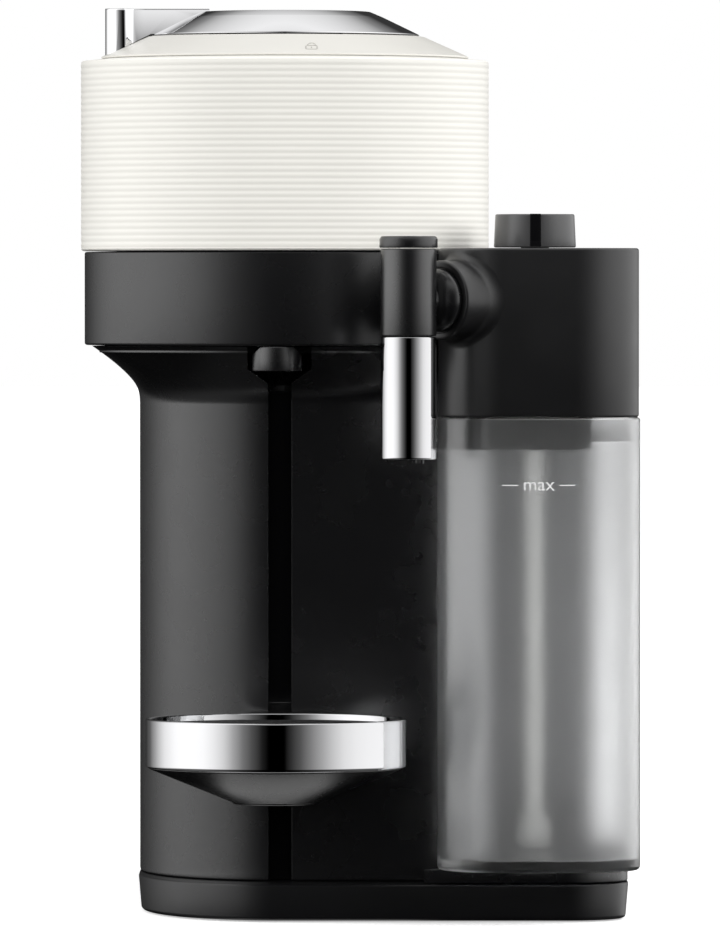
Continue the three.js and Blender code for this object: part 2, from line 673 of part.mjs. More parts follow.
// The fixed panel in the middle of the cap, with a well for each button.
function controlPanel() {
  const p = PANEL;
  const body = turned([
    [0, 290], [36, 290], [36, 292], [p.stem, 294], [p.stem, p.top - p.thickness],
    [p.radius - GAP, p.top - p.thickness], [p.radius - GAP, p.top], [0, p.top],
  ]);
  const wells = recipePlaces().map(({ x, y }) =>
    disc(RECIPE_BUTTON.radius + GAP, p.top - 2.8, p.top + 1, 20).translate(x, y, 0));
  return cut(body, disc(COFFEE_BUTTON.radius + GAP, p.top - 3, p.top + 1), ...wells);
}

const recipePlaces = () => RECIPE_BUTTON.angles.map((degrees) => {
  const angle = THREE.MathUtils.degToRad(degrees);
  return { x: RECIPE_BUTTON.orbit * Math.cos(angle), y: RECIPE_BUTTON.orbit * Math.sin(angle) };
});

const coffeeButton = () => {
  const { radius, top, travel } = COFFEE_BUTTON;
  return piece("coffee_button", disc(radius, PANEL.top - 2.6 + travel, top), CHROME);
};

const recipeButtons = () => recipePlaces().map(({ x, y }, i) => {
  const { radius, travel } = RECIPE_BUTTON;
  const bottom = PANEL.top - 2.6 + travel;
  const button = disc(radius, bottom, COFFEE_BUTTON.top - 0.2, 20).translate(x, y, 0);
  return piece(`recipe_button_${i + 1}`, button, CHROME);
});

// The chrome cap that turns with the lever to lock the head.
function lockLever() {
  const c = CAP;
  const cap = ring([
    [c.radius, c.foot], [c.breakRadius, c.breakZ], [c.rim, c.top], [PANEL.radius, c.top],
    [PANEL.radius, c.top - 3], [c.breakRadius - 1, c.breakZ - 2.4], [c.radius - 3, c.foot],
  ], LARGE_ROUND);
  const bar = new THREE.Shape();
  const { tip, root, halfWidth, corner } = LEVER;
  bar.moveTo(root, -halfWidth);
  bar.lineTo(root, halfWidth);
  bar.absarc(tip + corner, halfWidth - corner, corner, Math.PI / 2, Math.PI);
  bar.absarc(tip + corner, corner - halfWidth, corner, Math.PI, Math.PI * 1.5);
  const blank = prism(bar.getPoints(4), LEVER.bottom, LEVER.top);
  const slope = (DOME.innerZ - DOME.outerZ) / (DOME.outerRadius - DOME.innerRadius);
  const overCap = DOME.outerZ + LEVER.lift + slope * (DOME.outerRadius - c.radius - GAP);
  const clearance = turned([
    [0, 300], [DOME.outerRadius + 1, 300], [DOME.outerRadius + 1, DOME.outerZ + LEVER.lift],
    [c.radius + GAP, overCap], [0, overCap],
  ], LARGE_ROUND);
  const middle = disc(PANEL.radius, LEVER.bottom - 1, LEVER.top + 1, LARGE_ROUND);
  return piece("lock_lever", join(cap, cut(blank, clearance, middle)), CHROME);
}

// ---------------------------------------------------------------- cup support

function cupSupport() {
  const s = SUPPORT;
  const place = (geometry) => geometry.translate(s.x, s.y, 0);
  const inner = s.radius - s.wall;
  const rim = tubeRing(inner, s.radius, s.bottom, s.top, LARGE_ROUND);
  const bowl = turned([
    [0, s.coneZ], [s.coneFoot, s.coneZ], [s.radius - 0.6, s.bottom - GAP],
    [inner - 0.4, s.bottom - GAP], [inner - 0.4, s.top - 4], [inner - 2.2, s.top - 4],
    [inner - 2.2, s.bottom + 1], [s.coneFoot - 1, s.coneZ + 2.4], [0, s.coneZ + 2.4],
  ], LARGE_ROUND);
  const neck = 3;
  const back = s.y + s.radius;
  const bracket = join(
    box(s.x - neck, s.x + neck, back + GAP, RAIL.front - 0.4, 50, s.top),
    box(s.x - 7.6, s.x + 7.6, RAIL.front - 1.6, RAIL.front - 0.4, 48, s.top + 4),
    box(s.x - 11, s.x + 11, back + GAP, back + 2.4, 58, s.top),
  );
  return [
    piece("support_ring", place(rim), CHROME),
    piece("drip_bowl", place(bowl), BLACK),
    piece("support_bracket", bracket, BLACK),
  ];
}

function dripGrid() {
  const g = GRID;
  const plate = disc(g.radius, g.top - g.thickness, g.top, LARGE_ROUND);
  const holes = g.rings.flatMap((orbit, i) => {
    const count = 6 + 6 * i;
    return Array.from({ length: count }, (_, k) => {
      const angle = (k / count) * Math.PI * 2;
      const hole = disc(g.hole, g.top - 3, g.top + 1, 6);
      return hole.translate(orbit * Math.cos(angle), orbit * Math.sin(angle), 0);
    });
  });
  return piece("drip_grid", cut(plate, ...holes).translate(SUPPORT.x, SUPPORT.y, 0), BLACK);
}

// ---------------------------------------------------------------- milk carafe

function milkJug() {
  const outside = jugOutline();
  const shell = cut(
    loft([
      { points: inset(outside, 2), z: JUG.bottom },
      { points: outside, z: JUG.bottom + 2 },
      { points: outside, z: JUG.top },
    ]),
    prism(inset(outside, JUG.wall), JUG.floor, JUG.top + 1),
  );
  return piece("milk_container", shell, FROSTED);
}

// A cylinder on the milk spout's horizontal swivel axis, between two distances from the
// spout tube's centre line towards the lid.
function alongSwivel(radius, from, to, segments = ROUND) {
  const made = new THREE.CylinderGeometry(radius, radius, to - from, segments);
  made.translate(0, (from + to) / 2, 0).rotateZ(-Math.PI / 4);
  return made.translate(SPOUT.x, SPOUT.y, SPOUT.z);
}

// The block under the lid that reaches down into the jug's mouth: a rounded rectangle whose
// left side is hollowed like the jug's own.
function plugShape() {
  const p = PLUG;
  const radius = JUG.cradle + 8;
  const rear = Math.asin(p.back / radius);
  const meeting = -Math.acos(p.left / radius);
  const path = new THREE.Path();
  path.absarc(
    p.left + p.leftRound, p.front + p.leftRound, p.leftRound, Math.PI, Math.PI * 1.5,
  );
  path.absarc(
    p.right - p.rightRound, p.front + p.rightRound, p.rightRound, -Math.PI / 2, 0,
  );
  path.absarc(p.right - p.rightRound, p.back - p.rightRound, p.rightRound, 0, Math.PI / 2);
  path.absarc(0, 0, radius, rear, meeting, true);
  return path.getPoints(5);
}

function milkLid() {
  const outside = inset(jugOutline(), LID.inset);
  const inside = inset(outside, LID.wall);
  const shell = join(
    cut(
      prism(outside, LID.bottom, LID.top),
      prism(inside, LID.bottom - 1, LID.top - LID.wall),
    ),
    cut(alongSwivel(BOSS.radius, BOSS.distance, 34), prism(inside, LID.bottom, LID.top)),
  );
  const made = cut(
    shell,
    alongSwivel(BOSS.bore, BOSS.distance - 1, 40),
    disc(DIAL.stem + 0.8, LID.top - 5, LID.top + 1).translate(DIAL.x, DIAL.y, 0),
    alongY(3, JUG.back - 6, JUG.back + 2),
  );
  const plugOutline = plugShape();
  const plug = join(
    prism(plugOutline, PLUG.bottom, LID.bottom + 6),
    prism(inset(outside, LID.wall + GAP), LID.bottom + GAP, LID.bottom + 4),
  );
  const suction = new THREE.Vector2(88.8, -36);
  const pipe = join(
    disc(3, JUG.floor + 3, PLUG.bottom - GAP, 16),
    disc(5.5, JUG.floor + 2, JUG.floor + 12, 16),
  ).translate(suction.x, suction.y, 0);
  const sealOutside = inset(jugOutline(), JUG.wall + GAP);
  const seal = cut(
    prism(sealOutside, PLUG.bottom + 3, PLUG.bottom + 7),
    prism(inset(plugOutline, -0.2), PLUG.bottom, PLUG.bottom + 10),
  );
  const mixer = join(
    box(80, 100, -44, 11, 196, 216), disc(9, 196, 222).translate(DIAL.x, DIAL.y, 0),
  );
  return [
    piece("lid_shell", made, BLACK),
    piece("lid_plug", plug, BLACK),
    piece("plug_seal", seal, SILICONE),
    piece("suction_tube", pipe, SILICONE),
    piece("froth_mixer", mixer, BLACK),
  ];
}

const frothDial = () => {
  const knob = turned([
    [0, 223], [DIAL.stem, 223], [DIAL.stem, DIAL.bottom], [DIAL.radius, DIAL.bottom],
    [DIAL.topRadius, DIAL.top], [0, DIAL.top],
  ]);
  return piece("froth_dial", knob.translate(DIAL.x, DIAL.y, 0), BLACK);
};

function milkSpout() {
  const s = SPOUT;
  const place = (geometry) => geometry.translate(s.x, s.y, 0);
  const tube = turned([
    [0, s.sleeveTop + GAP], [s.radius, s.sleeveTop + GAP], [s.radius, s.top], [0, s.top],
  ]);
  const socket = alongSwivel(7.4, 4, 12);
  const sleeve = tubeRing(s.sleeveRadius - 1.2, s.sleeveRadius, s.sleeveBottom, s.sleeveTop);
  const pipes = [3.3, 4.5].map((dx) => disc(0.9, s.nozzleBottom, 200, 10).translate(dx, 0, 0));
  const nozzle = join(
    disc(s.sleeveRadius - 1.5, s.sleeveBottom + 1, s.sleeveBottom + 6), ...pipes,
  );
  const pivot = join(
    alongSwivel(BOSS.bore - GAP, 5, BOSS.distance + 10),
    alongSwivel(BOSS.flange, 11.2, BOSS.distance - GAP),
  );
  return [
    piece("spout_tube", cut(place(tube), socket), BLACK),
    piece("spout_cap", place(disc(s.capRadius, s.top + GAP, s.capTop)), BLACK),
    piece("spout_sleeve", place(sleeve), CHROME),
    piece("spout_nozzle", place(nozzle), BLACK),
    piece("spout_pivot", cut(pivot, alongSwivel(2, 8, BOSS.distance + 20, 12)), BLACK),
  ];
}

// ---------------------------------------------------------------- assembly

const water = waterTank();
const head = group(
  ...headPieces(), lockLever(), coffeeButton(), ...recipeButtons(),
);
const carafe = group(milkJug(), ...milkLid(), frothDial(), ...milkSpout());
const machine = group(
  basePlate(), ...feet(), columnShell(), guideRail(), brewCollar(),
  coffeeCollector(), coffeeOutlet(), ...driveTrain(), ...capsuleRotor(), rearHousing(),
  rearDeck(), hingePin(), capsuleBin(), ...water.standing, ...water.tank, ...water.lid,
  ...waterworks(), ...milkDock(), ...cupSupport(), dripGrid(), head, carafe,
);
machine.position.set(-ORIGIN.x, -ORIGIN.y, 0);

export default group(machine);
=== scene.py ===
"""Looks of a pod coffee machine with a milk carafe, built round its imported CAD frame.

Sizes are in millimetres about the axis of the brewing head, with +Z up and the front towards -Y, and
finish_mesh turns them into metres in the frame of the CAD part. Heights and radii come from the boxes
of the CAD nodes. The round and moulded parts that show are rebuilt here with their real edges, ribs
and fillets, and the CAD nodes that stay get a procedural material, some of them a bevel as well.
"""

import math

import bmesh
import bpy
from mathutils import Matrix, Vector


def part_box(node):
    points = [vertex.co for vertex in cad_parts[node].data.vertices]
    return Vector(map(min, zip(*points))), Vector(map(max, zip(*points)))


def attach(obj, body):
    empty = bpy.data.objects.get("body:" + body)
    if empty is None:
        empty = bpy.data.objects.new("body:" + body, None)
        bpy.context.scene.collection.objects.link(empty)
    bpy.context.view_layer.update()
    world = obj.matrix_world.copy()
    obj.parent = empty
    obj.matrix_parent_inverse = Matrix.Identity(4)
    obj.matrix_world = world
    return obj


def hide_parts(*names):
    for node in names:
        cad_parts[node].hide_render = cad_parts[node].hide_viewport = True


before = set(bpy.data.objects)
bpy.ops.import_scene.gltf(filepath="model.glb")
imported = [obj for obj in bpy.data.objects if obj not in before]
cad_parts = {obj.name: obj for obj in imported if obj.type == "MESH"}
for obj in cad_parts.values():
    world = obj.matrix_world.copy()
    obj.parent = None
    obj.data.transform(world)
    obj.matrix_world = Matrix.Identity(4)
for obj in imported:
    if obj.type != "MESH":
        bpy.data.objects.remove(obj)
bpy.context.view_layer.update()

MM = 0.001
TAU = math.tau
SHARP = 32
HEAD_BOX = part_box("drum_shell")
AXIS = Vector(((HEAD_BOX[0].x + HEAD_BOX[1].x) / 2, (HEAD_BOX[0].y + HEAD_BOX[1].y) / 2, 0))


# ------------------------------------------------------------------ reading the frame

def low(node):
    return (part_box(node)[0] - AXIS) / MM


def high(node):
    return (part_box(node)[1] - AXIS) / MM


def heights(node):
    """The heights of a node's foot and top."""
    return low(node).z, high(node).z


def centre_of(node):
    """The middle of a node in plan, at table height."""
    between = (low(node) + high(node)) / 2
    return (between.x, between.y, 0)


def radius_of(node):
    """Half the width of a round node."""
    return (high(node).x - low(node).x) / 2


# ------------------------------------------------------------------ materials

def socket(shader, name, value):
    shader.inputs[name].default_value = value


def new_material(name):
    material = bpy.data.materials.new(name)
    material.use_nodes = True
    tree = material.node_tree
    return material, tree, tree.nodes["Principled BSDF"]


def noise(tree, scale, detail=2.0):
    coordinates = tree.nodes.new("ShaderNodeTexCoord")
    texture = tree.nodes.new("ShaderNodeTexNoise")
    socket(texture, "Scale", scale)
    socket(texture, "Detail", detail)
    tree.links.new(coordinates.outputs["Object"], texture.inputs["Vector"])
    return texture.outputs["Fac"]


def ranged(tree, source, lowest, highest):
    """source, which runs from 0 to 1, mapped to a range of its own."""
    mapped = tree.nodes.new("ShaderNodeMapRange")
    socket(mapped, "From Min", 0.3)
    socket(mapped, "From Max", 0.7)
    socket(mapped, "To Min", lowest)
    socket(mapped, "To Max", highest)
    tree.links.new(source, mapped.inputs["Value"])
    return mapped.outputs["Result"]


def bumped(tree, shader, source, distance):
    bump = tree.nodes.new("ShaderNodeBump")
    socket(bump, "Distance", distance)
    tree.links.new(source, bump.inputs["Height"])
    tree.links.new(bump.outputs["Normal"], shader.inputs["Normal"])


def mixed_colour(tree, shader, source, first, second):
    ramp = tree.nodes.new("ShaderNodeValToRGB")
    ramp.color_ramp.elements[0].position = 0.35
    ramp.color_ramp.elements[0].color = (*first, 1)
    ramp.color_ramp.elements[1].position = 0.65
    ramp.color_ramp.elements[1].color = (*second, 1)
    tree.links.new(source, ramp.inputs["Fac"])
    tree.links.new(ramp.outputs["Color"], shader.inputs["Base Color"])


def moulded(name, colour, rough, grain=0.00002, variation=0.04, specular=0.5):
    """Moulded plastic: a faint spark-eroded grain, and gloss that isn't quite even."""
    material, tree, shader = new_material(name)
    paler = tuple(min(1.0, c * (1 + variation)) for c in colour)
    mixed_colour(tree, shader, noise(tree, 35), colour, paler)
    broad = noise(tree, 60, 4)
    tree.links.new(ranged(tree, broad, rough * 0.92, rough * 1.08), shader.inputs["Roughness"])
    socket(shader, "Specular IOR Level", specular)
    if grain:
        bumped(tree, shader, noise(tree, 4200, 1), grain)
    return material


def polished(name, colour, rough):
    """Polished or brushed metal with very faint wear in its gloss."""
    material, tree, shader = new_material(name)
    socket(shader, "Metallic", 1.0)
    paler = tuple(min(1.0, c * 1.03) for c in colour)
    mixed_colour(tree, shader, noise(tree, 20), colour, paler)
    wear = noise(tree, 220, 6)
    tree.links.new(ranged(tree, wear, rough * 0.7, rough * 1.3), shader.inputs["Roughness"])
    return material


def translucent(name, colour, rough, transmission, ior=1.45, grain=0.00003, coat=0.0):
    """Frosted or clear plastic that light passes through, perhaps with a frosted skin."""
    material, tree, shader = new_material(name)
    paler = tuple(min(1.0, c * 1.02) for c in colour)
    mixed_colour(tree, shader, noise(tree, 30), colour, paler)
    cloud = noise(tree, 90, 4)
    tree.links.new(ranged(tree, cloud, rough * 0.93, rough * 1.07), shader.inputs["Roughness"])
    socket(shader, "Transmission Weight", transmission)
    socket(shader, "IOR", ior)
    socket(shader, "Coat Weight", coat)
    socket(shader, "Coat Roughness", 0.2)
    socket(shader, "Coat IOR", 1.6)
    if grain:
        bumped(tree, shader, noise(tree, 3000, 1), grain)
    return material


CREAM = moulded("cream_plastic", (0.82, 0.805, 0.755), 0.42, variation=0.015)
# The dome is the same cream plastic as the drum, made darker here to hold back the strong light its slope
# gets from above: painted shade.
DOME_CREAM_PAINTED_SHADE = moulded("cream_dome_painted_shade", (0.65, 0.638, 0.598), 0.42, variation=0.015)
CREAM_MARK = moulded("cream_mark", (0.42, 0.41, 0.38), 0.5)
BLACK = moulded("satin_black", (0.0055, 0.0055, 0.006), 0.27, specular=0.95)
TOWER_BLACK = moulded("tower_black", (0.0055, 0.0055, 0.006), 0.27, specular=0.95)
socket(TOWER_BLACK.node_tree.nodes["Principled BSDF"], "IOR", 1.62)
DIAL_GREY = moulded("dial_grey", (0.045, 0.045, 0.046), 0.3, specular=0.9)
MATT_BLACK = moulded("matt_black", (0.012, 0.012, 0.0125), 0.6, grain=0.00005)
GLOSS_BLACK = moulded("gloss_black", (0.004, 0.004, 0.0045), 0.09, grain=0)
DARK_PLUG = moulded("dark_plug", (0.004, 0.004, 0.004), 0.5, specular=0.1)
LID_BLACK = moulded("lid_black", (0.0055, 0.0055, 0.006), 0.37, specular=0.9)
BASE_BLACK = moulded("base_black", (0.0055, 0.0055, 0.006), 0.3, specular=0.55)
CHROME = polished("polished_chrome", (0.66, 0.66, 0.67), 0.035)
# The cap and lever are the same chrome as the ring and buttons, made paler here to make up for less light
# from above: painted light.
CAP_CHROME_PAINTED_LIGHT = polished("cap_chrome_painted_light", (0.9, 0.9, 0.91), 0.035)
STEEL = polished("brushed_steel", (0.58, 0.59, 0.6), 0.3)
ALUMINIUM = polished("cast_aluminium", (0.66, 0.67, 0.68), 0.5)
RUBBER = moulded("black_rubber", (0.01, 0.01, 0.01), 0.85, grain=0.0001)
SILICONE = moulded("milky_silicone", (0.62, 0.62, 0.6), 0.55, variation=0.03)
FROSTED = translucent("frosted_plastic", (0.93, 0.935, 0.94), 0.34, 1.0, ior=1.22, coat=1.0)
CLEAR_SEAL = translucent("clear_silicone", (0.97, 0.97, 0.97), 0.15, 1.0, ior=1.08)
CLEAR = translucent("smoked_plastic", (0.55, 0.58, 0.6), 0.06, 0.95, grain=0)
BOARD = moulded("circuit_board", (0.015, 0.12, 0.045), 0.4, variation=0.3)
MARK_WHITE = moulded("mark_white", (0.86, 0.86, 0.86), 0.5, variation=0.02)


# ------------------------------------------------------------------ outlines and profiles

def arc(cx, cy, rx, start, end, steps, ry=None):
    """Points along an arc of an ellipse, in degrees, both ends included."""
    ry = rx if ry is None else ry
    angles = [math.radians(start + (end - start) * i / steps) for i in range(steps + 1)]
    return [(cx + rx * math.cos(a), cy + ry * math.sin(a)) for a in angles]


def straight(start, end, steps):
    """Points from start to end, without the end."""
    (x0, y0), (x1, y1) = start, end
    return [(x0 + (x1 - x0) * i / steps, y0 + (y1 - y0) * i / steps) for i in range(steps)]


def clean(points, closed=True):
    """The points without repeats."""
    kept = []
    for point in points:
        if not kept or math.dist(kept[-1], point) > 1e-3:
            kept.append(point)
    if closed and math.dist(kept[0], kept[-1]) <= 1e-3:
        kept.pop()
    return kept


def softened(corners):
    """A closed outline from (x, y, radius) corners, with each corner rounded to its radius."""
    out, steps = [], 4
    for i, (x, y, r) in enumerate(corners):
        here = Vector((x, y))
        back = Vector(corners[i - 1][:2]) - here
        on = Vector(corners[(i + 1) % len(corners)][:2]) - here
        half = back.angle(on) / 2
        reach = min(r / math.tan(half), back.length * 0.49, on.length * 0.49)
        start = here + back.normalized() * reach
        end = here + on.normalized() * reach
        bulge = 1 - math.sin(half)
        for k in range(steps + 1):
            t = k / steps
            curve = start * (1 - t) ** 2 + here * 2 * t * (1 - t) + end * t ** 2
            chord = start.lerp(end, t)
            share = 0.55 + 0.45 * bulge
            out.append(tuple(chord.lerp(curve, min(1.0, share * 1.1))))
    return out


def inset(points, distance, closed=True):
    """Moves an outline inwards, if it runs counter-clockwise."""
    count = len(points)
    moved = []
    for i, point in enumerate(points):
        here = Vector(point)
        before = Vector(points[i - 1] if closed or i else points[0])
        after = Vector(points[(i + 1) % count] if closed or i + 1 < count else points[-1])
        a = (here - before).normalized()
        b = (after - here).normalized()
        if a.length < 0.5:
            a = b
        if b.length < 0.5:
            b = a
        along = (a + b).normalized()
        stretch = distance / max(0.5, along.dot(a))
        moved.append((here.x - along.y * stretch, here.y + along.x * stretch))
    return moved


def rounded_rectangle(x0, x1, y0, y1, r, steps=10):
    return clean(
        arc(x1 - r, y0 + r, r, -90, 0, steps) + arc(x1 - r, y1 - r, r, 0, 90, steps)
        + arc(x0 + r, y1 - r, r, 90, 180, steps) + arc(x0 + r, y0 + r, r, 180, 270, steps)
    )


# ------------------------------------------------------------------ mesh builders

def shade_smooth(mesh):
    """Smooth shading between the edges that are sharper than SHARP degrees."""
    for polygon in mesh.polygons:
        polygon.use_smooth = True
    mesh.set_sharp_from_angle(angle=math.radians(SHARP))


def linked(name, data):
    """A new object in the scene."""
    made = bpy.data.objects.new(name, data)
    bpy.context.scene.collection.objects.link(made)
    return made


def finish_mesh(name, mesh_maker, material):
    """Makes an object from a filled bmesh."""
    bmesh.ops.remove_doubles(mesh_maker, verts=mesh_maker.verts, dist=1e-4)
    bmesh.ops.dissolve_degenerate(mesh_maker, dist=1e-4, edges=mesh_maker.edges)
    mesh_maker.transform(Matrix.Translation(AXIS) @ Matrix.Scale(MM, 4))
    bmesh.ops.recalc_face_normals(mesh_maker, faces=mesh_maker.faces)
    mesh = bpy.data.meshes.new(name)
    mesh_maker.to_mesh(mesh)
    mesh_maker.free()
    shade_smooth(mesh)
    mesh.materials.append(material)
    return linked(name, mesh)


def skin(maker, rings, closed=False, capped=True):
    """Faces between rings with equal numbers of vertices, with end caps if it isn't closed."""
    count = len(rings[0])
    pairs = list(zip(rings, rings[1:]))
    if closed:
        pairs.append((rings[-1], rings[0]))
    for first, second in pairs:
        for k in range(count):
            n = (k + 1) % count
            maker.faces.new((first[k], first[n], second[n], second[k]))
    if capped and not closed:
        maker.faces.new(list(reversed(rings[0])))
        maker.faces.new(rings[-1])


def place(made, body, *nodes):
    """A finished piece rides on its body and stands for its CAD nodes."""
    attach(made, body)
    if nodes:
        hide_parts(*nodes)
    return made


def lathe(name, profile, centre, material, segments=144, turn=None):
    """A solid of revolution. profile is a closed loop of (radius, z), or starts and ends at
    radius 0. turn places it on another axis than +Z."""
    maker = bmesh.new()
    on_axis = profile[0][0] < 1e-6 and profile[-1][0] < 1e-6
    rings = []
    for radius, z in profile:
        if radius < 1e-6:
            rings.append([maker.verts.new((0, 0, z))])
            continue
        rings.append([
            maker.verts.new((radius * math.cos(TAU * k / segments),
                             radius * math.sin(TAU * k / segments), z))
            for k in range(segments)
        ])
    pairs = list(zip(rings, rings[1:]))
    if not on_axis:
        pairs.append((rings[-1], rings[0]))
    for first, second in pairs:
        for k in range(segments):
            n = (k + 1) % segments
            if len(first) == 1 and len(second) == 1:
                break
            if len(first) == 1:
                maker.faces.new((first[0], second[k], second[n]))
            elif len(second) == 1:
                maker.faces.new((first[k], second[0], first[n]))
            else:
                maker.faces.new((first[k], second[k], second[n], first[n]))
    if turn is not None:
        maker.transform(turn)
    maker.transform(Matrix.Translation(centre))
    return finish_mesh(name, maker, material)


def loft(name, sections, material):
    """A skin through stacked outlines with equal numbers of points: (outline, z) pairs."""
    maker = bmesh.new()
    skin(maker, [[maker.verts.new((x, y, z)) for x, y in outline] for outline, z in sections])
    return finish_mesh(name, maker, material)


def round_foot(outline, z, edge, steps=4, draw=0.0):
    """Sections that turn from a flat underside at z up into an outline, drawn in by draw."""
    angles = [math.pi / 2 * k / steps for k in range(steps + 1)]
    return [(inset(outline, draw + edge * (1 - math.sin(a))), z + edge * (1 - math.cos(a))) for a in angles]


def round_top(outline, z, edge):
    """Sections that turn from an outline into a flat top at z."""
    angles = [math.pi / 2 * k / 4 for k in range(5)]
    return [(inset(outline, edge * (1 - math.cos(a))), z - edge * (1 - math.sin(a))) for a in angles]


def slab(name, outline, z0, z1, material, edge=0.8):
    return loft(name, round_foot(outline, z0, edge) + round_top(outline, z1, edge), material)


def vessel(name, outline, z0, z1, wall, floor, material, edge):
    """An open-topped container with a rounded foot and rim."""
    inner, rim = inset(outline, wall), 0.4
    sections = round_foot(outline, z0, edge)
    sections += [(outline, z1 - rim), (inset(outline, rim), z1), (inset(outline, wall - rim), z1)]
    sections += [(inner, z1 - rim), (inner, z0 + floor + edge)]
    sections += [(inset(outline, wall + edge * 0.3), z0 + floor + edge * 0.3),
                 (inset(outline, wall + edge), z0 + floor)]
    return loft(name, sections, material)


def cut(made, cutter):
    """Cuts another object out, which is then removed."""
    modifier = made.modifiers.new("boolean", "BOOLEAN")
    modifier.solver = "EXACT"
    modifier.object = cutter
    bpy.context.view_layer.update()
    graph = bpy.context.evaluated_depsgraph_get()
    mesh = bpy.data.meshes.new_from_object(made.evaluated_get(graph))
    made.modifiers.clear()
    made.data = mesh
    bpy.data.objects.remove(cutter)
    shade_smooth(made.data)
    return made


def block(name, x0, x1, y0, y1, z0, z1, material, edge=0.0, corner=0.0):
    """A box with rounded upright corners and rounded top and bottom edges."""
    corner = max(corner, edge * 1.5, 0.05)
    outline = rounded_rectangle(x0, x1, y0, y1, corner, 5)
    return slab(name, outline, z0, z1, material, max(edge, 0.02))


def tube(name, points, radius, material, closed=False):
    """A thin round wire through points in space."""
    maker = bmesh.new()
    spots = [Vector(p) for p in points]
    count, sides = len(spots), 8
    rings = []
    for i, spot in enumerate(spots):
        before = spots[i - 1] if closed or i else spots[0]
        after = spots[(i + 1) % count] if closed or i + 1 < count else spots[-1]
        along = (after - before).normalized()
        side = along.orthogonal() if abs(along.z) > 0.9 else along.cross((0, 0, 1))
        side.normalize()
        up = side.cross(along).normalized()
        turns = [TAU * k / sides for k in range(sides)]
        rings.append([
            maker.verts.new(spot + radius * (side * math.cos(turn) + up * math.sin(turn)))
            for turn in turns
        ])
    skin(maker, rings, closed)
    return finish_mesh(name, maker, material)


def merged(name, *parts):
    """Several objects as one, each keeping its own surface."""
    maker = bmesh.new()
    for part in parts:
        maker.from_mesh(part.data)
    mesh = bpy.data.meshes.new(name)
    maker.to_mesh(mesh)
    maker.free()
    shade_smooth(mesh)
    mesh.materials.append(parts[0].data.materials[0])
    for part in parts:
        bpy.data.objects.remove(part)
    return linked(name, mesh)


def bevelled(made, width):
    """Rounds the sharp edges of a finished piece."""
    modifier = made.modifiers.new("bevel", "BEVEL")
    modifier.width = width * MM
    modifier.segments = 3
    modifier.limit_method = "ANGLE"
    modifier.angle_limit = math.radians(30)
    modifier.harden_normals = True
    return made


def upright_prism(name, outline, y0, y1, material):
    """An outline in the XZ plane, extruded from y0 back to y1."""
    maker = bmesh.new()
    skin(maker, [[maker.verts.new((x, y, z)) for x, z in outline] for y in (y0, y1)])
    return finish_mesh(name, maker, material)


def keep(node, material, bevel=0.0):
    """A CAD node that shows as it is, with a material and perhaps softened edges."""
    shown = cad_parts[node]
    shown.data.materials.clear()
    shown.data.materials.append(material)
    if bevel:
        bevelled(shown, bevel)


def rounded(profile, radius):
    """A closed profile of (r, z) whose every corner is rounded."""
    return clean(softened([(r, z, radius) for r, z in profile]))


# ------------------------------------------------------------------ brewing head

RIBS = 30
RIB_DEPTH = 0.11
GAP_DROP = 0.8
DOME_RADIUS = 66.0
DOME_STEP = 1.45


def drum():
    radius = radius_of("drum_shell")
    bottom, shoulder = low("drum_shell").z - GAP_DROP, high("drum_shell").z
    top, wall = shoulder + 1.4, 2.6
    first, last = bottom + 2.1, shoulder - 1.1
    pitch = (last - first) / (RIBS - 1)
    profile = [(radius - wall, bottom)] + arc(radius - 1.1, bottom + 1.1, 1.1, -90, 0, 6)[:-1]
    steps = RIBS * 10
    for k in range(steps + 1):
        z = first - pitch / 2 + pitch * RIBS * k / steps
        wave = (1 - math.cos(TAU * (z - first) / pitch)) / 2
        profile.append((radius - RIB_DEPTH * wave ** 1.3, z))
    profile += arc(radius - 0.8, shoulder, 0.6, 10, 75, 4)
    profile += [(radius - 8.4, top), (radius - 9, top), (radius - 12, top), (radius - 12, top - wall)]
    profile += [(radius - wall, shoulder - wall)]
    made = lathe("drum_ribbed", clean(profile), (0, 0, 0), CREAM, segments=256)
    place(made, "head", "drum_shell")


def dome():
    outer, top, inner = DOME_RADIUS, high("dome_ring").z, 49.5
    foot = high("drum_shell").z + DOME_STEP
    lower = arc(outer - 0.45, foot + 0.45, 0.45, -90, 40, 6)
    upper = arc(inner + 0.5, top - 0.5, 0.5, 60, 170, 5)
    profile = [(outer - 4, foot)] + lower + upper + [(inner - 2, top - 2.6), (inner - 2, top - 4)]
    # The dome takes the darker copy of the cream: painted shade.
    place(lathe("dome_smooth", profile, (0, 0, 0), DOME_CREAM_PAINTED_SHADE, segments=256), "head", "dome_ring")

    # An outlined padlock shows where the lever locks. It lies on the slope of the dome.
    (r0, z0), (r1, z1) = lower[-1], upper[0]
    slope = math.atan2(z1 - z0, r0 - r1)
    distance = 61.5
    height = z0 + (r0 - distance) * math.tan(slope)

    def on_dome(across, up):
        r = distance - up * math.cos(slope)
        angle = math.radians(-90) + (9.9 + across) / r
        return (r * math.cos(angle), r * math.sin(angle), height + up * math.sin(slope) + 0.05)

    body = [on_dome(x, y) for x, y in rounded([(-2, -1.6), (2, -1.6), (2, 1.6), (-2, 1.6)], 0.5)]
    shackle = [on_dome(x, y) for x, y in arc(0, 2.6, 1.3, 0, 180, 10)]
    shackle = [on_dome(1.3, 1.7)] + shackle + [on_dome(-1.3, 2.2)]
    keyhole = [on_dome(0, 0.4), on_dome(0, -0.5)]
    mark = merged(
        "padlock_mark", tube("body", body, 0.16, CREAM_MARK, closed=True),
        tube("shackle", shackle, 0.16, CREAM_MARK), tube("keyhole", keyhole, 0.2, CREAM_MARK),
    )
    place(mark, "head")


LEVER_LEAN = 5.2


def lever_section(half, lean, bottom, top):
    """The lever's cross-section in (y, z): the sides lean in towards the top."""
    corners = [(-half, bottom, 0.5), (half, bottom, 0.5), (half - lean, top, 0.7), (lean - half, top, 0.7)]
    return softened(corners)


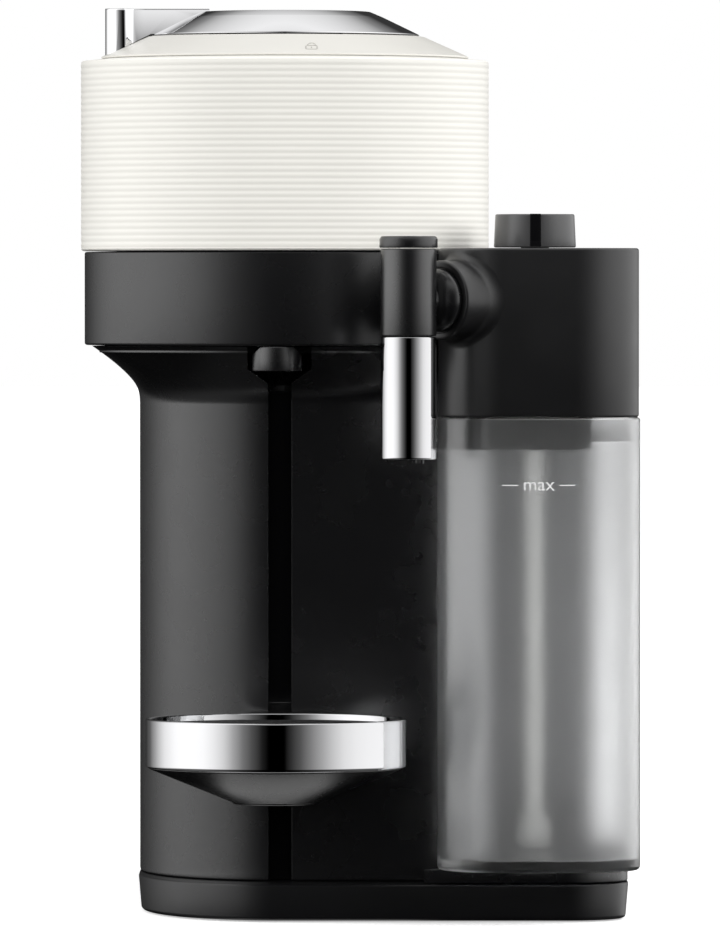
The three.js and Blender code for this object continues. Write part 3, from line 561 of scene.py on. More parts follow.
def across(name, sections, material):
    """A skin through outlines in (y, z), one at each x."""
    maker = bmesh.new()
    rings = [[maker.verts.new((x, y, z)) for y, z in outline] for x, outline in sections]
    skin(maker, rings, capped=False)
    maker.faces.new(rings[0])
    maker.faces.new(rings[-1])
    return finish_mesh(name, maker, material)


def lock_lever():
    radius, foot, rim_top = 49.0, high("dome_ring").z + 0.4, high("lock_lever").z - 1
    profile = rounded([
        (radius, foot), (radius - 13.8, foot + 6.7), (radius - 18.3, rim_top), (28.1, rim_top),
        (28.1, rim_top - 3), (radius - 14.8, foot + 4.3), (radius - 3, foot),
    ], 0.5)
    # The cap and the lever bar take the paler copy of the chrome: painted light.
    cap = lathe("cap", profile, (0, 0, 0), CAP_CHROME_PAINTED_LIGHT, segments=256)
    tip, half, corner, top = low("lock_lever").x, 14.0, 6.5, high("lock_lever").z
    stations = [tip + corner * (1 - math.cos(math.pi / 2 * k / 8)) for k in range(9)]
    stations += [tip + corner + step for step in (0.6, 1.2, 1.8, 2.4, 3.0, 3.8, 8, 18, 33)]
    sections = []
    for x in stations:
        inside = min(0.0, x - tip - corner)
        wide = half - corner + math.sqrt(corner ** 2 - inside ** 2)
        turned = min(1.0, max(0.0, (x - tip - corner - 0.6) / 3.2))
        lean = LEVER_LEAN * turned * turned * (3 - 2 * turned)
        sections.append((x, lever_section(wide, lean, top - 17, top)))
    bar = across("bar", sections, CAP_CHROME_PAINTED_LIGHT)
    slope = (high("dome_ring").z - high("drum_shell").z - DOME_STEP) / (DOME_RADIUS - 49.5)
    lift = high("drum_shell").z + DOME_STEP + 0.8
    over_cap = lift + slope * (DOME_RADIUS - radius - 0.3)
    clearance = [
        (0, lift - 20), (90, lift - 20), (90, lift - slope * 25.8), (radius + 0.3, over_cap), (0, over_cap),
    ]
    cut(bar, lathe("clearance", clearance, (0, 0, 0), CAP_CHROME_PAINTED_LIGHT, segments=256))
    middle = [(0, top - 30), (28.4, top - 30), (28.4, top + 5), (0, top + 5)]
    cut(bar, lathe("middle", middle, (0, 0, 0), CAP_CHROME_PAINTED_LIGHT))
    place(merged("lever_and_cap", cap, bar), "lock_ring", "lock_lever")


def disc_profile(radius, z0, z1, edge):
    """A turned disc with rounded edges, from axis to axis."""
    lower = arc(radius - edge, z0 + edge, edge, -90, 0, 4)
    upper = arc(radius - edge, z1 - edge, edge, 0, 90, 4)
    return [(0, z0)] + lower + upper + [(0, z1)]


def controls():
    radius, top = radius_of("coffee_button") + 18.7, high("control_panel").z
    panel = lathe("panel", disc_profile(radius, top - 3.6, top, 0.4), (0, 0, 0), GLOSS_BLACK)
    for name in ("coffee_button", "recipe_button_1", "recipe_button_2"):
        r = radius_of(name)
        well = disc_profile(r + 0.3, top - 3, top + 3, 0.05)
        cut(panel, lathe("well", well, centre_of(name), GLOSS_BLACK, 96))
        z0, z1 = low(name).z, high(name).z
        dished = [(0, z0)] + arc(r - 0.4, z0 + 0.4, 0.4, -90, 0, 3) + arc(r - 0.5, z1 - 0.5, 0.5, 0, 90, 4)
        dished += [(r * 0.72, z1), (r * 0.6, z1 - 0.25), (0, z1 - 0.35)]
        place(lathe(name + "_cap", dished, centre_of(name), CHROME, 96), name, name)
    flanged = [(0, 290), (36, 290), (36, 292), (21, 294), (21, top - 3.7), (0, top - 3.7)]
    stem = lathe("stem", flanged, (0, 0, 0), GLOSS_BLACK)
    place(merged("panel_and_stem", panel, stem), "head", "control_panel")


# ------------------------------------------------------------------ tower

COLUMN_LEFT, COLUMN_RIGHT, COLUMN_FRONT, COLUMN_BACK = -52.9, 72.3, -40.0, 76.0
NECK = 69.4
FLARE_FOOT, FLARE_TOP = 183.4, 204.1


def column_path():
    across, deep, rise = 50.3, 76.5, 36.5
    front_right = math.sqrt(COLUMN_RIGHT ** 2 - COLUMN_FRONT ** 2)
    turn = math.degrees(math.atan2(COLUMN_FRONT, front_right))
    return clean(
        straight((COLUMN_LEFT, COLUMN_BACK), (COLUMN_LEFT, rise), 12)
        + arc(COLUMN_LEFT + across, rise, across, 180, 270, 40, deep)
        + straight((COLUMN_LEFT + across, COLUMN_FRONT), (front_right, COLUMN_FRONT), 20)
        + arc(0, 0, COLUMN_RIGHT, turn, 0, 12) + [(COLUMN_RIGHT, COLUMN_BACK)],
        closed=False,
    )


def flared(path, share):
    moved = []
    for x, y in path:
        length = math.hypot(x, y)
        to_x, to_y = x, y
        if 0 < y < NECK and x < 0:
            to_x = min(x, -math.sqrt(NECK ** 2 - y ** 2))
        if y <= 0 and length < NECK:
            to_x, to_y = x * NECK / length, y * NECK / length
        moved.append((x + (to_x - x) * share, y + (to_y - y) * share))
    return moved


def flare_share(u):
    def rise(v):
        return v - 0.22 + math.hypot(v - 0.22, 0.15)
    return (rise(u) - rise(0)) / (rise(1) - rise(0))


def column():
    path = column_path()
    wall = 2.6

    def ring(share, shrink=0.0):
        outer = inset(flared(path, share), shrink, closed=False)
        return outer + list(reversed(inset(flared(path, share), wall, closed=False)))

    foot = low("column_shell").z
    sections = [(ring(0, 0.5), foot), (ring(0, 0.1), foot + 0.4), (ring(0), foot + 1)]
    steps = 16
    for k in range(steps + 1):
        u = k / steps
        sections.append((ring(flare_share(u)), FLARE_FOOT + u * (FLARE_TOP - FLARE_FOOT)))
    shell = loft("column_smooth", sections, TOWER_BLACK)
    x, half, cup = centre_of("guide_rail")[0] + 1.0, 4.2, 11.3
    cutter = upright_prism("slot", [
        (x - half, 13), (x + half, 13), (x + half, 191), (x + cup, 196), (x + cup, 206),
        (x - cup, 206), (x - cup, 196), (x - half, 191),
    ], -90, low("guide_rail").y, BLACK)
    cut(shell, cutter)
    place(bevelled(shell, 0.6), "machine", "column_shell")
    inside = inset(clean(flared(path, 1)), wall + 0.1)
    plate = slab("column_top", inside, 201.7, 203.9, TOWER_BLACK, edge=0.3)
    opening = block("opening", x - cup, x + cup, -90, -46, 190, 210, BLACK)
    place(cut(plate, opening), "machine")
    keep("guide_rail", GLOSS_BLACK)


def collar():
    radius, bottom, top = radius_of("brew_collar"), low("brew_collar").z, high("brew_collar").z - GAP_DROP
    profile = [(14, bottom)] + arc(radius - 0.9, bottom + 0.9, 0.9, -90, 0, 6)
    profile += arc(radius - 0.7, top - 0.7, 0.7, 0, 90, 6)
    profile += [(62, top), (62, top - 2.6), (radius - 2.6, top - 2.6)]
    profile += [(radius - 2.6, bottom + 3), (14, bottom + 3)]
    place(lathe("collar_smooth", profile, (0, 0, 0), BLACK, segments=256), "machine", "brew_collar")


def outlet():
    z0, z1, r = low("coffee_outlet").z, high("coffee_outlet").z, radius_of("coffee_outlet")
    x, y, _ = centre_of("coffee_outlet")
    x, y, slant = x + 0.5, y + 1.4, 3.2
    profile = rounded([(2.6, z0), (r, z0), (r, z1), (2.6, z1)], 0.3)
    made = lathe("outlet_shaped", profile, (x, y, 0), TOWER_BLACK, 128)
    for side in (-1, 1):
        corner = [(r - slant, z1 + 0.1), (r + 0.1, z1 - slant), (r + 4, z1 + 4)]
        corner = [(x + side * out, z) for out, z in corner]
        cut(made, upright_prism("corner", corner, y - 20, y + 20, TOWER_BLACK))
    place(bevelled(made, 0.3), "machine", "coffee_outlet")


def base():
    left, right, front, step = low("base_plate").x, high("base_plate").x, low("base_plate").y, 72.8
    back, dock_back = high("base_plate").y, 88.0
    bottom, top = heights("base_plate")
    outline = clean(
        arc(left + 50.6, front + 77, 50.6, 180, 270, 40, 77)
        + arc(right - 22, front + 22, 22, -90, 0, 20) + arc(right - 14, dock_back - 14, 14, 0, 90, 12)
        + [(step, dock_back)] + arc(step - 14, back - 14, 14, 0, 90, 12)
        + arc(left + 14, back - 14, 14, 90, 180, 12)
    )
    sections = round_foot(outline, bottom, 1.4, steps=6, draw=0.9) + round_top(outline, top, 0.8)
    made = loft("base_smooth", sections, BASE_BLACK)
    for name in ("foot_front_left", "foot_front_right", "foot_back_left", "foot_back_right"):
        r, z1 = radius_of(name), high(name).z
        recess = disc_profile(r + 0.3, -2, z1 + 0.3, 0.1)
        cut(made, lathe("recess", recess, centre_of(name), BLACK, 64))
        foot = lathe(name + "_pad", disc_profile(r, 0, z1, 0.6), centre_of(name), RUBBER, 64)
        place(foot, "machine", name)
    place(made, "machine", "base_plate")


# ------------------------------------------------------------------ cup support

def cup_support():
    centre = centre_of("support_ring")
    radius, z0, z1 = radius_of("support_ring"), low("support_ring").z, high("support_ring").z
    inner = radius - 1.7
    tall0, tall1 = z0 - 0.4, z1 + 0.5
    profile = rounded([
        (inner, tall0), (radius, tall0), (radius, tall0 + 1.4),
        (radius, tall1 - 1.4), (radius, tall1), (inner, tall1),
    ], 0.6)
    place(lathe("ring_polished", profile, centre, CHROME, 256), "cup_support", "support_ring")

    foot, cone = low("drip_bowl").z, 15.7
    profile = [(0, foot)] + arc(cone - 1.2, foot + 1.2, 1.2, -90, -25, 5)
    profile += [(radius - 1.4, z0 - 1.0), (radius - 1.0, z0 - 0.6), (radius - 1.0, z0 - 0.3)]
    profile += [(inner - 0.4, z0 - 0.3), (inner - 0.4, z1 - 4), (inner - 2.2, z1 - 4), (inner - 2.2, z0 + 1)]
    profile += [(cone - 1, foot + 2.4), (0, foot + 2.4)]
    place(lathe("bowl_smooth", profile, centre, BLACK, 256), "cup_support", "drip_bowl")

    radius, z0, z1 = radius_of("drip_grid"), low("drip_grid").z, high("drip_grid").z
    plate = lathe("grid_plate", disc_profile(radius, z0, z1, 0.3), centre, MATT_BLACK, 192)
    maker, hole = bmesh.new(), 1.45
    for ring in range(1, 7):
        count, orbit = 6 * ring, 6.2 * ring
        for k in range(count):
            angle = TAU * k / count
            x, y = centre[0] + orbit * math.cos(angle), centre[1] + orbit * math.sin(angle)
            bmesh.ops.create_cone(
                maker, cap_ends=True, segments=16, radius1=hole, radius2=hole, depth=8,
                matrix=Matrix.Translation((x, y, z0)),
            )
    cut(plate, finish_mesh("holes", maker, MATT_BLACK))
    x, edge = centre[0], centre[1] + radius
    notch = block("notch", x - 12, x + 12, edge - 4, centre[1] + 60, z0 - 3, z1 + 3, MATT_BLACK, corner=2.5)
    place(cut(plate, notch), "drip_grid", "drip_grid")

    x = centre_of("support_bracket")[0]
    back = centre[1] + radius_of("support_ring")
    rail = low("guide_rail").y
    z0, z1 = heights("support_bracket")
    made = merged(
        "bracket_shaped",
        block("neck", x - 3, x + 3, back + 1, rail - 0.6, z0 + 2, z1 - 4, BLACK, edge=0.4, corner=0.6),
        block("shoe", x - 7.6, x + 7.6, rail - 1.7, rail - 0.4, z0, z1, BLACK, edge=0.4, corner=0.6),
        block("seat", x - 11, x + 11, back + 0.3, back + 2.6, 58, z1 - 4, BLACK, edge=0.9, corner=1.1),
    )
    place(made, "cup_support", "support_bracket")


# ------------------------------------------------------------------ milk carafe

JUG_LEFT, JUG_RIGHT, JUG_FRONT, JUG_BACK, CRADLE, FRONT_ROUND = 54.3, 126.1, -87.4, 15.0, 75.5, 24


def jug_outline():
    """Flat front with soft corners, and a hollow that keeps clear of the collar."""
    rear = math.degrees(math.asin(JUG_BACK / CRADLE))
    meeting = -math.degrees(math.acos(JUG_LEFT / CRADLE))
    return clean(
        arc(JUG_LEFT + FRONT_ROUND, JUG_FRONT + FRONT_ROUND, FRONT_ROUND, 180, 270, 40)
        + arc(JUG_RIGHT - FRONT_ROUND, JUG_FRONT + FRONT_ROUND, FRONT_ROUND, 270, 360, 40)
        + arc(JUG_RIGHT - 8, JUG_BACK - 8, 8, 0, 90, 12)
        + arc(0, 0, CRADLE, rear, meeting, 36)
    )


def plug_outline():
    """The block under the lid that reaches down into the jug's mouth."""
    left, right, front, back, radius = 58.6, 109.0, -83.4, 6.0, CRADLE + 8
    rear = math.degrees(math.asin(back / radius))
    meeting = -math.degrees(math.acos(left / radius))
    return clean(
        arc(left + 20, front + 20, 20, 180, 270, 30)
        + arc(right - 12, front + 12, 12, 270, 360, 20)
        + arc(right - 12, back - 12, 12, 0, 90, 20)
        + arc(0, 0, radius, rear, meeting, 30)
    )


def swivel():
    """Turns +Z to the milk spout's swivel axis, which points back into the lid."""
    return Matrix.Rotation(math.radians(-45), 4, "Z") @ Matrix.Rotation(math.radians(-90), 4, "X")


def spout_boss(spout, height):
    """The round boss that carries the spout, blended into the soft corner of the lid."""
    around, fillet, radius = 128, 3.6, 14.05
    corner = Vector((JUG_LEFT + FRONT_ROUND, JUG_FRONT + FRONT_ROUND))
    along = Vector((math.sqrt(0.5), math.sqrt(0.5)))
    side = Vector((-along.y, along.x))
    start = Vector(spout)
    rings = []

    def at(distance, r, angle):
        spot = start + along * distance + side * (r * math.cos(angle))
        return Vector((spot.x, spot.y, height + r * math.sin(angle)))

    def lid_distance(r, angle):
        """How far along the axis the lid's surface is."""
        base = start + side * (r * math.cos(angle))
        reach = (base - corner).dot(along)
        round_squared = (FRONT_ROUND - 0.5) ** 2
        distance = -reach - math.sqrt(reach ** 2 - (base - corner).length_squared + round_squared)
        spot = base + along * distance
        if spot.x > corner.x:
            return (JUG_FRONT + 0.5 - base.y) / along.y
        if spot.y > corner.y:
            return (JUG_LEFT + 0.5 - base.x) / along.x
        return distance

    angles = [TAU * k / around for k in range(around)]
    for distance, r in ((24, 6.4), (15.9, 6.4), (15.6, 6.8), (15.6, 11.4), (15.3, 11.7), (15.2, 12.2)):
        rings.append([at(distance, r, a) for a in angles])
    for k in range(6):
        turn = math.pi / 2 * k / 5
        rings.append([at(16.2 - math.cos(turn), radius - 1 + math.sin(turn), a) for a in angles])
    for k in range(13):
        t = k / 12
        ring = []
        for a in angles:
            meet = at(lid_distance(radius, a), radius, a)
            first = at(lid_distance(radius, a) - fillet, radius, a)
            last = at(lid_distance(radius + fillet, a) + 0.02, radius + fillet, a)
            ring.append(first * (1 - t) ** 2 + meet * 2 * t * (1 - t) + last * t ** 2)
        rings.append(ring)
    maker = bmesh.new()
    rows = [[maker.verts.new(spot) for spot in ring] for ring in rings]
    for first, second in zip(rows, rows[1:]):
        for k in range(around):
            n = (k + 1) % around
            maker.faces.new((first[k], first[n], second[n], second[k]))
    maker.faces.new(rows[0])
    return finish_mesh("boss", maker, LID_BLACK)


def carafe():
    outline = jug_outline()
    bottom, top = heights("milk_container")
    jug = vessel("jug_frosted", outline, bottom, top, 2.2, 3.9, FROSTED, edge=1.6)
    place(jug, "milk_jug", "milk_container")

    lid = inset(outline, 0.5)
    z0, z1 = heights("lid_shell")
    body = slab("body", lid, z0, z1, LID_BLACK, edge=0.9)
    boss = spout_boss(centre_of("spout_sleeve")[:2], 220.5)
    place(merged("lid_smooth", body, boss), "milk_lid", "lid_shell")

    plug = slab("plug_smooth", plug_outline(), low("lid_plug").z, z0 + 2, DARK_PLUG, edge=0.8)
    place(plug, "milk_lid", "lid_plug")
    keep("plug_seal", CLEAR_SEAL)
    keep("froth_mixer", BLACK)
    x, y, _ = centre_of("suction_tube")
    z0, z1 = heights("suction_tube")
    pipe = lathe("suction_pipe", [
        (0, z0), (5.5, z0), (5.5, z0 + 10), (3, z0 + 11), (3, z1), (0, z1),
    ], (x, y, 0), SILICONE, 64)
    place(pipe, "milk_lid", "suction_tube")

    centre = centre_of("froth_dial")
    z0, z1, r = high("lid_shell").z + 0.3, high("froth_dial").z, radius_of("froth_dial")
    knob = [(0, z0)] + arc(r - 0.5, z0 + 0.5, 0.5, -90, 0, 4) + arc(r - 1.1, z1 - 0.6, 0.6, 5, 90, 6)
    knob += [(r - 2.2, z1 - 0.25), (0, z1 - 0.25)]
    shaft = [(0, z0 - 14), (5, z0 - 14), (5, z0), (0, z0)]
    knob = lathe("knob", knob, centre, DIAL_GREY, 160)
    dial = merged("dial_smooth", knob, lathe("stem", shaft, centre, DIAL_GREY, 48))
    place(dial, "froth_dial", "froth_dial")
    half = 1.9
    steps = [half * k / 6 for k in range(-6, 7)]
    front = [(centre[0] + x, centre[1] - math.sqrt((r + 0.12) ** 2 - x * x)) for x in steps]
    rear_edge = centre[1] - r + 4.5
    outline = front + [(centre[0] + half, rear_edge), (centre[0] - half, rear_edge)]
    strip = slab("dial_strip", outline, z0 + 0.35, z1 + 0.08, GLOSS_BLACK, edge=0.12)
    place(strip, "froth_dial")


def spout():
    centre = centre_of("spout_sleeve")
    foot, top = heights("spout_tube")
    r = radius_of("spout_tube")
    body = lathe("tube_smooth", disc_profile(r, foot, top, 0.5), centre, TOWER_BLACK, 128)
    place(body, "milk_spout", "spout_tube")
    r, z0, z1 = radius_of("spout_cap"), low("spout_cap").z, high("spout_cap").z
    profile = [(0, z0)] + arc(r - 0.3, z0 + 0.3, 0.3, -90, 0, 3) + [(r, z1 - 1.1)]
    profile += arc(r - 1.0, z1 - 0.7, 0.7, 30, 90, 5) + [(0, z1)]
    place(lathe("cap_smooth", profile, centre, BLACK, 128), "milk_spout", "spout_cap")
    r, z0, z1 = radius_of("spout_sleeve"), low("spout_sleeve").z, high("spout_sleeve").z
    profile = rounded([(r - 1.2, z0), (r, z0), (r, z0 + 1), (r, z1 - 1), (r, z1), (r - 1.2, z1)], 0.35)
    place(lathe("sleeve_polished", profile, centre, CHROME, 128), "milk_spout", "spout_sleeve")
    tip = disc_profile(0.9, low("spout_nozzle").z, z0 + 2, 0.2)
    tips = [lathe("tip", tip, (centre[0] + dx, centre[1], 0), BLACK, 24) for dx in (3.3, 4.5)]
    plug = lathe("plug", disc_profile(r - 1.5, z0 + 1, z0 + 6, 0.3), centre, BLACK, 96)
    place(merged("nozzle_smooth", plug, *tips), "milk_spout", "spout_nozzle")
    turns = [math.radians(30 + 5 * k) for k in range(13)]
    profile = [(0, 7), (5.4, 7)] + [(11.2 * math.sin(t), 14.4 - 5.6 * math.cos(t)) for t in turns]
    profile += [(11.2, 15.3), (0, 15.3)]
    pivot = lathe("pivot_smooth", profile, (centre[0], centre[1], 220.5), BLACK, 128, turn=swivel())
    place(pivot, "milk_spout", "spout_pivot")


def fill_mark():
    """The word max between two short lines, printed on the front of the carafe."""
    z = 155.5
    parts = [
        block("line", x0, x1, JUG_FRONT - 0.12, JUG_FRONT + 0.1, z - 0.2, z + 0.2, MARK_WHITE)
        for x0, x1 in ((76.8, 82.6), (97.0, 102.6))
    ]
    curve = bpy.data.curves.new("word", "FONT")
    curve.body = "max"
    curve.size = 6.6 * MM
    curve.extrude = 0.1 * MM
    curve.align_x = "CENTER"
    curve.align_y = "CENTER"
    word = linked("word", curve)
    bpy.context.view_layer.update()
    graph = bpy.context.evaluated_depsgraph_get()
    mesh = bpy.data.meshes.new_from_object(word.evaluated_get(graph))
    bpy.data.objects.remove(word)
    for vertex in mesh.vertices:
        x, y = 89.8 + vertex.co.x / MM, JUG_FRONT - 0.02 - vertex.co.z / MM
        vertex.co = AXIS + Vector((x, y, z + 0.2 + vertex.co.y / MM)) * MM
    mesh.materials.clear()
    mesh.materials.append(MARK_WHITE)
    place(merged("fill_mark", *parts, linked("text", mesh)), "milk_jug")


# ------------------------------------------------------------------ rear of the machine

def dock():
    x0, x1, y0, y1 = 72.7, 113.0, 16.5, 86.0
    z0, z1 = heights("milk_dock")
    outline = rounded_rectangle(x0, x1, y0, y1, 6)
    body = slab("body", outline, z0, z1, BLACK, edge=1.2)
    radius, back = CRADLE + 0.5, y0 + 1
    front, right = low("base_plate").y + 0.5, high("base_plate").x - 0.2
    first, last = (math.degrees(math.asin(y / radius)) for y in (back, front))
    seat = clean(
        arc(right - 22, front + 22, 22, -90, 0, 20) + [(right, back)] + arc(0, 0, radius, first, last, 30)
    )
    platform = slab("platform", seat, z0, low("milk_container").z - 0.3, BLACK, edge=0.5)
    place(merged("dock_smooth", body, platform), "machine", "milk_dock")
    keep("steam_nozzle", STEEL)
    keep("steam_seal", SILICONE)


def rear():
    front, back, corner = low("rear_housing").y, high("rear_housing").y, 14
    path = clean(
        straight((COLUMN_RIGHT, front), (COLUMN_RIGHT, back - corner), 4)
        + arc(COLUMN_RIGHT - corner, back - corner, corner, 0, 90, 14)
        + arc(COLUMN_LEFT + corner, back - corner, corner, 90, 180, 14) + [(COLUMN_LEFT, front)],
        closed=False,
    )

    def ring(shrink):
        return inset(path, shrink, closed=False) + list(reversed(inset(path, 2.6, closed=False)))

    z0, z1 = heights("rear_housing")
    sections = [(ring(0.4), z0), (ring(0), z0 + 0.4), (ring(0), z1 - 0.3), (ring(0.3), z1)]
    made = loft("housing_smooth", sections, TOWER_BLACK)
    first, last, play = low("power_inlet"), high("power_inlet"), 0.5
    sides, levels = (first.x - play, last.x + play), (first.z - play, last.z + play)
    inlet = block("inlet", *sides, back - 8, back + 5, *levels, BLACK)
    place(cut(made, inlet), "machine", "rear_housing")
    keep("rear_deck", BLACK, bevel=0.5)

    x0, x1, y0, y1 = -36.0, 56.0, 132.0, 192.0
    z0, z1 = heights("capsule_bin")
    seam = z1 - 4.7
    shell = vessel("shell", rounded_rectangle(x0, x1, y0, y1, 10), z0, seam, 1.8, 1.8, BLACK, edge=2)
    brim = rounded_rectangle(x0 - 3, x1 + 3, y0 - 3, y1 + 3, 13, 12)
    cover = slab("cover", brim, seam, z1, BLACK, edge=1)
    place(merged("bin_smooth", shell, cover), "capsule_bin", "capsule_bin")

    (x0, y0, z0), (x1, y1, z1) = low("water_tank"), high("water_tank")
    outline = rounded_rectangle(x0, x1, y0, y1, 16, 14)
    place(vessel("tank_clear", outline, z0, z1, 2, 3, CLEAR, edge=2.5), "water_tank", "water_tank")
    top = high("tank_lid").z
    cover = merged(
        "tank_cover", slab("top", inset(outline, -1), z1 + 0.3, top, BLACK, edge=1.2),
        slab("plug", inset(outline, 2.5), z1 - 4, z1 + 0.3, BLACK, edge=0.5),
        block("grip", x0 + 34, x1 - 34, y1 - 16, y1 - 12, top - 0.4, top + 2.4, BLACK, edge=0.9, corner=1.6),
    )
    place(cover, "tank_lid", "tank_lid")
    keep("tank_valve", BLACK)
    keep("tank_socket", BLACK, bevel=0.4)
    keep("power_inlet", MATT_BLACK, bevel=0.4)


def hidden_parts():
    for material, names in (
        (BLACK, ("head_base", "flow_meter")), (ALUMINIUM, ("thermoblock",)), (BOARD, ("control_board",)),
        (STEEL, ("pierce_plate", "hinge_pin", "spin_motor", "rotor_bearing", "drive_shaft", "water_pump")),
        (GLOSS_BLACK, ("coffee_collector",)),
        (SILICONE, ("head_seal", "water_hose", "brew_hose", "steam_hose")),
    ):
        for name in names:
            keep(name, material)
    keep("head_hinge", BLACK, bevel=0.4)
    z0, z1 = heights("capsule_holder")
    profile = rounded([
        (0, z0), (16, z0), (33.5, z0 + 10), (33.5, z1 - 4), (35.5, z1 - 3), (35.5, z1), (31.2, z1),
        (31.2, z0 + 11), (15, z0 + 2.4), (0, z0 + 2.4),
    ], 0.4)
    profile = [(0, z0)] + [p for p in profile if p[0] > 0.5] + [(0, z0 + 2.4)]
    place(lathe("holder_smooth", profile, (0, 0, 0), GLOSS_BLACK, 160), "capsule_rotor", "capsule_holder")


# ------------------------------------------------------------------ studio

def floor():
    """A white floor, and a white sheet that only the underside of the cup support mirrors."""
    bpy.ops.mesh.primitive_plane_add(size=40, location=(0, 0, 0))
    ground = bpy.context.active_object
    ground.name = "studio_floor"
    material, _, shader = new_material("studio_floor")
    socket(shader, "Base Color", (0.9, 0.9, 0.9, 1))
    socket(shader, "Roughness", 1.0)
    socket(shader, "Specular IOR Level", 0.0)
    socket(shader, "Emission Color", (1, 1, 1, 1))
    socket(shader, "Emission Strength", 0.45)
    ground.data.materials.append(material)
    ground.visible_glossy = False
    ground.visible_diffuse = False

    maker = bmesh.new()
    for x, y in ((-56, -80), (50, -80), (50, 130), (-56, 130)):
        maker.verts.new((x, y, -60))
    maker.faces.new(maker.verts)
    material, _, shader = new_material("table_sheet")
    socket(shader, "Base Color", (0, 0, 0, 1))
    socket(shader, "Emission Color", (1, 1, 1, 1))
    socket(shader, "Emission Strength", 0.8)
    sheet = finish_mesh("table_sheet", maker, material)
    for ray in ("camera", "diffuse", "shadow", "transmission"):
        setattr(sheet, "visible_" + ray, False)


STRENGTH = 1.22
BELOW = 0.08
BRIGHTEST = 1.3


def graded(tree, stops, position):
    """A grey ramp through (degrees, level) stops. position says where an angle is on the ramp."""
    ramp = tree.nodes.new("ShaderNodeValToRGB")
    elements = ramp.color_ramp.elements
    while len(elements) < len(stops):
        elements.new(0.5)
    for element, (degrees, level) in zip(elements, stops):
        element.position = position(degrees)
        element.color = (*[level / BRIGHTEST] * 3, 1)
    return ramp


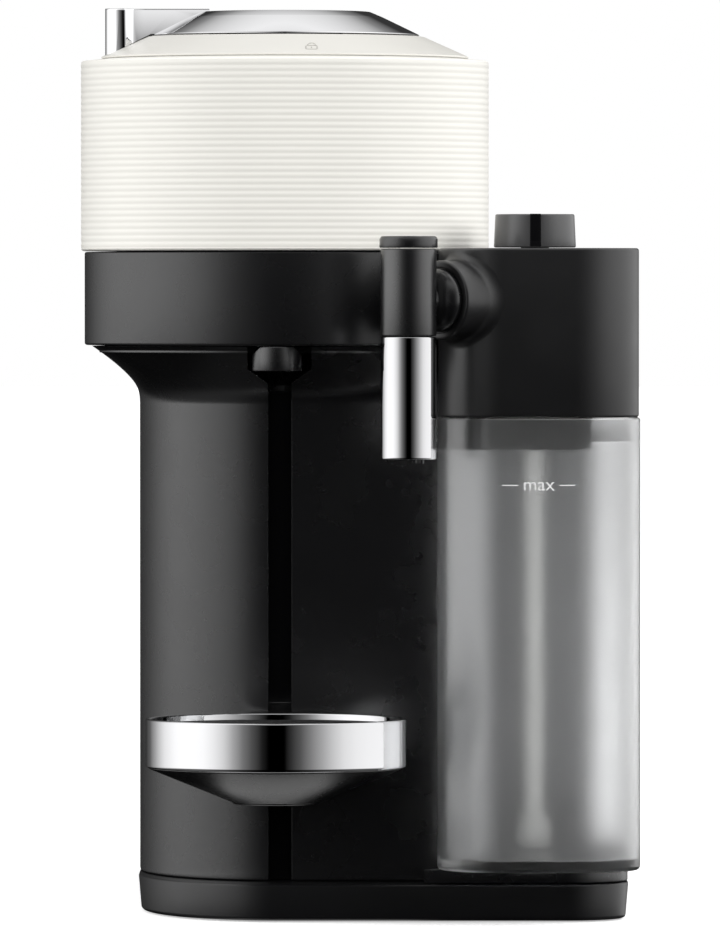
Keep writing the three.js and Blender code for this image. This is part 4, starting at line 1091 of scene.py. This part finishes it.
def studio_light():
    """A softbox on each side, dark in front and behind, as bands of a world shader."""
    world = bpy.data.worlds.new("studio")
    bpy.context.scene.world = world
    world.use_nodes = True
    tree = world.node_tree
    tree.nodes.clear()
    coordinates = tree.nodes.new("ShaderNodeTexCoord")
    split = tree.nodes.new("ShaderNodeSeparateXYZ")
    tree.links.new(coordinates.outputs["Generated"], split.inputs[0])
    back = tree.nodes.new("ShaderNodeMath")
    back.operation = "MULTIPLY"
    back.inputs[1].default_value = -1
    tree.links.new(split.outputs["Y"], back.inputs[0])
    around = tree.nodes.new("ShaderNodeMath")
    around.operation = "ARCTAN2"
    tree.links.new(split.outputs["X"], around.inputs[0])
    tree.links.new(back.outputs[0], around.inputs[1])
    share = tree.nodes.new("ShaderNodeMapRange")
    socket(share, "From Min", -math.pi)
    socket(share, "From Max", math.pi)
    tree.links.new(around.outputs[0], share.inputs["Value"])
    bands = graded(tree, (
        (-180, 0.02), (-163, 0.04), (-148, 0.12), (-134, 0.42), (-116, 0.95), (-101, 1.18), (-89, 1.28),
        (-77, 1.24), (-67, 1.2), (-57, 1.03), (-47, 0.78), (-38, 0.44), (-29, 0.2), (-21, 0.09),
        (-12, 0.015), (-6, 0.0), (8, 0.0), (14, 0.035), (22, 0.1), (31, 0.24), (42, 0.45), (52, 0.68),
        (63, 0.9), (76, 1.02), (90, 1.08), (105, 1.1), (142, 1.0), (156, 0.36), (170, 0.03),
    ), lambda degrees: (degrees + 180) / 360)
    tree.links.new(share.outputs["Result"], bands.inputs["Fac"])

    overhead = graded(tree, (
        (20, 0.0), (31, 0.2), (38, 0.45), (45, 0.63), (52, 0.77), (60, 0.62), (68, 0.2), (90, 0.12),
    ), lambda degrees: math.sin(math.radians(degrees)))
    tree.links.new(split.outputs["Z"], overhead.inputs["Fac"])

    below = tree.nodes.new("ShaderNodeMapRange")
    socket(below, "From Min", -0.2)
    socket(below, "From Max", -0.12)
    socket(below, "To Min", BELOW)
    socket(below, "To Max", 1.0)
    tree.links.new(split.outputs["Z"], below.inputs["Value"])
    dimmed = tree.nodes.new("ShaderNodeVectorMath")
    dimmed.operation = "SCALE"
    tree.links.new(bands.outputs["Color"], dimmed.inputs[0])
    tree.links.new(below.outputs["Result"], dimmed.inputs["Scale"])

    both = tree.nodes.new("ShaderNodeMix")
    both.data_type = "RGBA"
    both.blend_type = "LIGHTEN"
    colour_a, colour_b = (both.inputs[i] for i in (6, 7))
    both.inputs[0].default_value = 1.0
    tree.links.new(dimmed.outputs[0], colour_a)
    tree.links.new(overhead.outputs["Color"], colour_b)

    lit = tree.nodes.new("ShaderNodeBackground")
    socket(lit, "Strength", STRENGTH * BRIGHTEST)
    tree.links.new(both.outputs[2], lit.inputs["Color"])
    white = tree.nodes.new("ShaderNodeBackground")
    socket(white, "Color", (1, 1, 1, 1))
    socket(white, "Strength", 1.0)
    path = tree.nodes.new("ShaderNodeLightPath")
    mix = tree.nodes.new("ShaderNodeMixShader")
    output = tree.nodes.new("ShaderNodeOutputWorld")
    tree.links.new(path.outputs["Is Camera Ray"], mix.inputs["Fac"])
    tree.links.new(lit.outputs[0], mix.inputs[1])
    tree.links.new(white.outputs[0], mix.inputs[2])
    tree.links.new(mix.outputs[0], output.inputs["Surface"])


def fill_lights():
    """Soft lights for the matt surfaces, unseen in the glossy ones."""
    for name, degrees, elevation, power in (
        ("fill_right", 62, 24, 27), ("fill_left", -58, 14, 20), ("fill_front", 0, 4, 13.5),
    ):
        lamp = bpy.data.lights.new(name, "AREA")
        lamp.size = 1.2
        lamp.energy = power
        made = linked(name, lamp)
        around, up = math.radians(degrees), math.radians(elevation)
        out = Vector((math.sin(around) * math.cos(up), -math.cos(around) * math.cos(up), math.sin(up)))
        made.location = out * 2.2 + Vector((0, 0, 0.2))
        made.rotation_euler = (-out).to_track_quat("-Z", "Y").to_euler()
        made.visible_glossy = False
        made.visible_transmission = False


def camera():
    lens = bpy.data.cameras.new("camera")
    lens.lens = 399
    lens.sensor_width = 36
    lens.sensor_fit = "AUTO"
    lens.clip_end = 100
    eye = linked("camera", lens)
    eye.location = (0, -3.780, 0.224)
    aim = Vector((0.0006, -0.080, 0.16154)) - eye.location
    eye.rotation_euler = aim.to_track_quat("-Z", "Y").to_euler()
    bpy.context.scene.camera = eye


drum()
dome()
lock_lever()
controls()
collar()
column()
outlet()
base()
cup_support()
carafe()
spout()
fill_mark()
dock()
rear()
hidden_parts()
floor()
studio_light()
fill_lights()
camera()

bpy.context.scene.view_settings.view_transform = "Standard"
bpy.context.scene.cycles.use_denoising = True
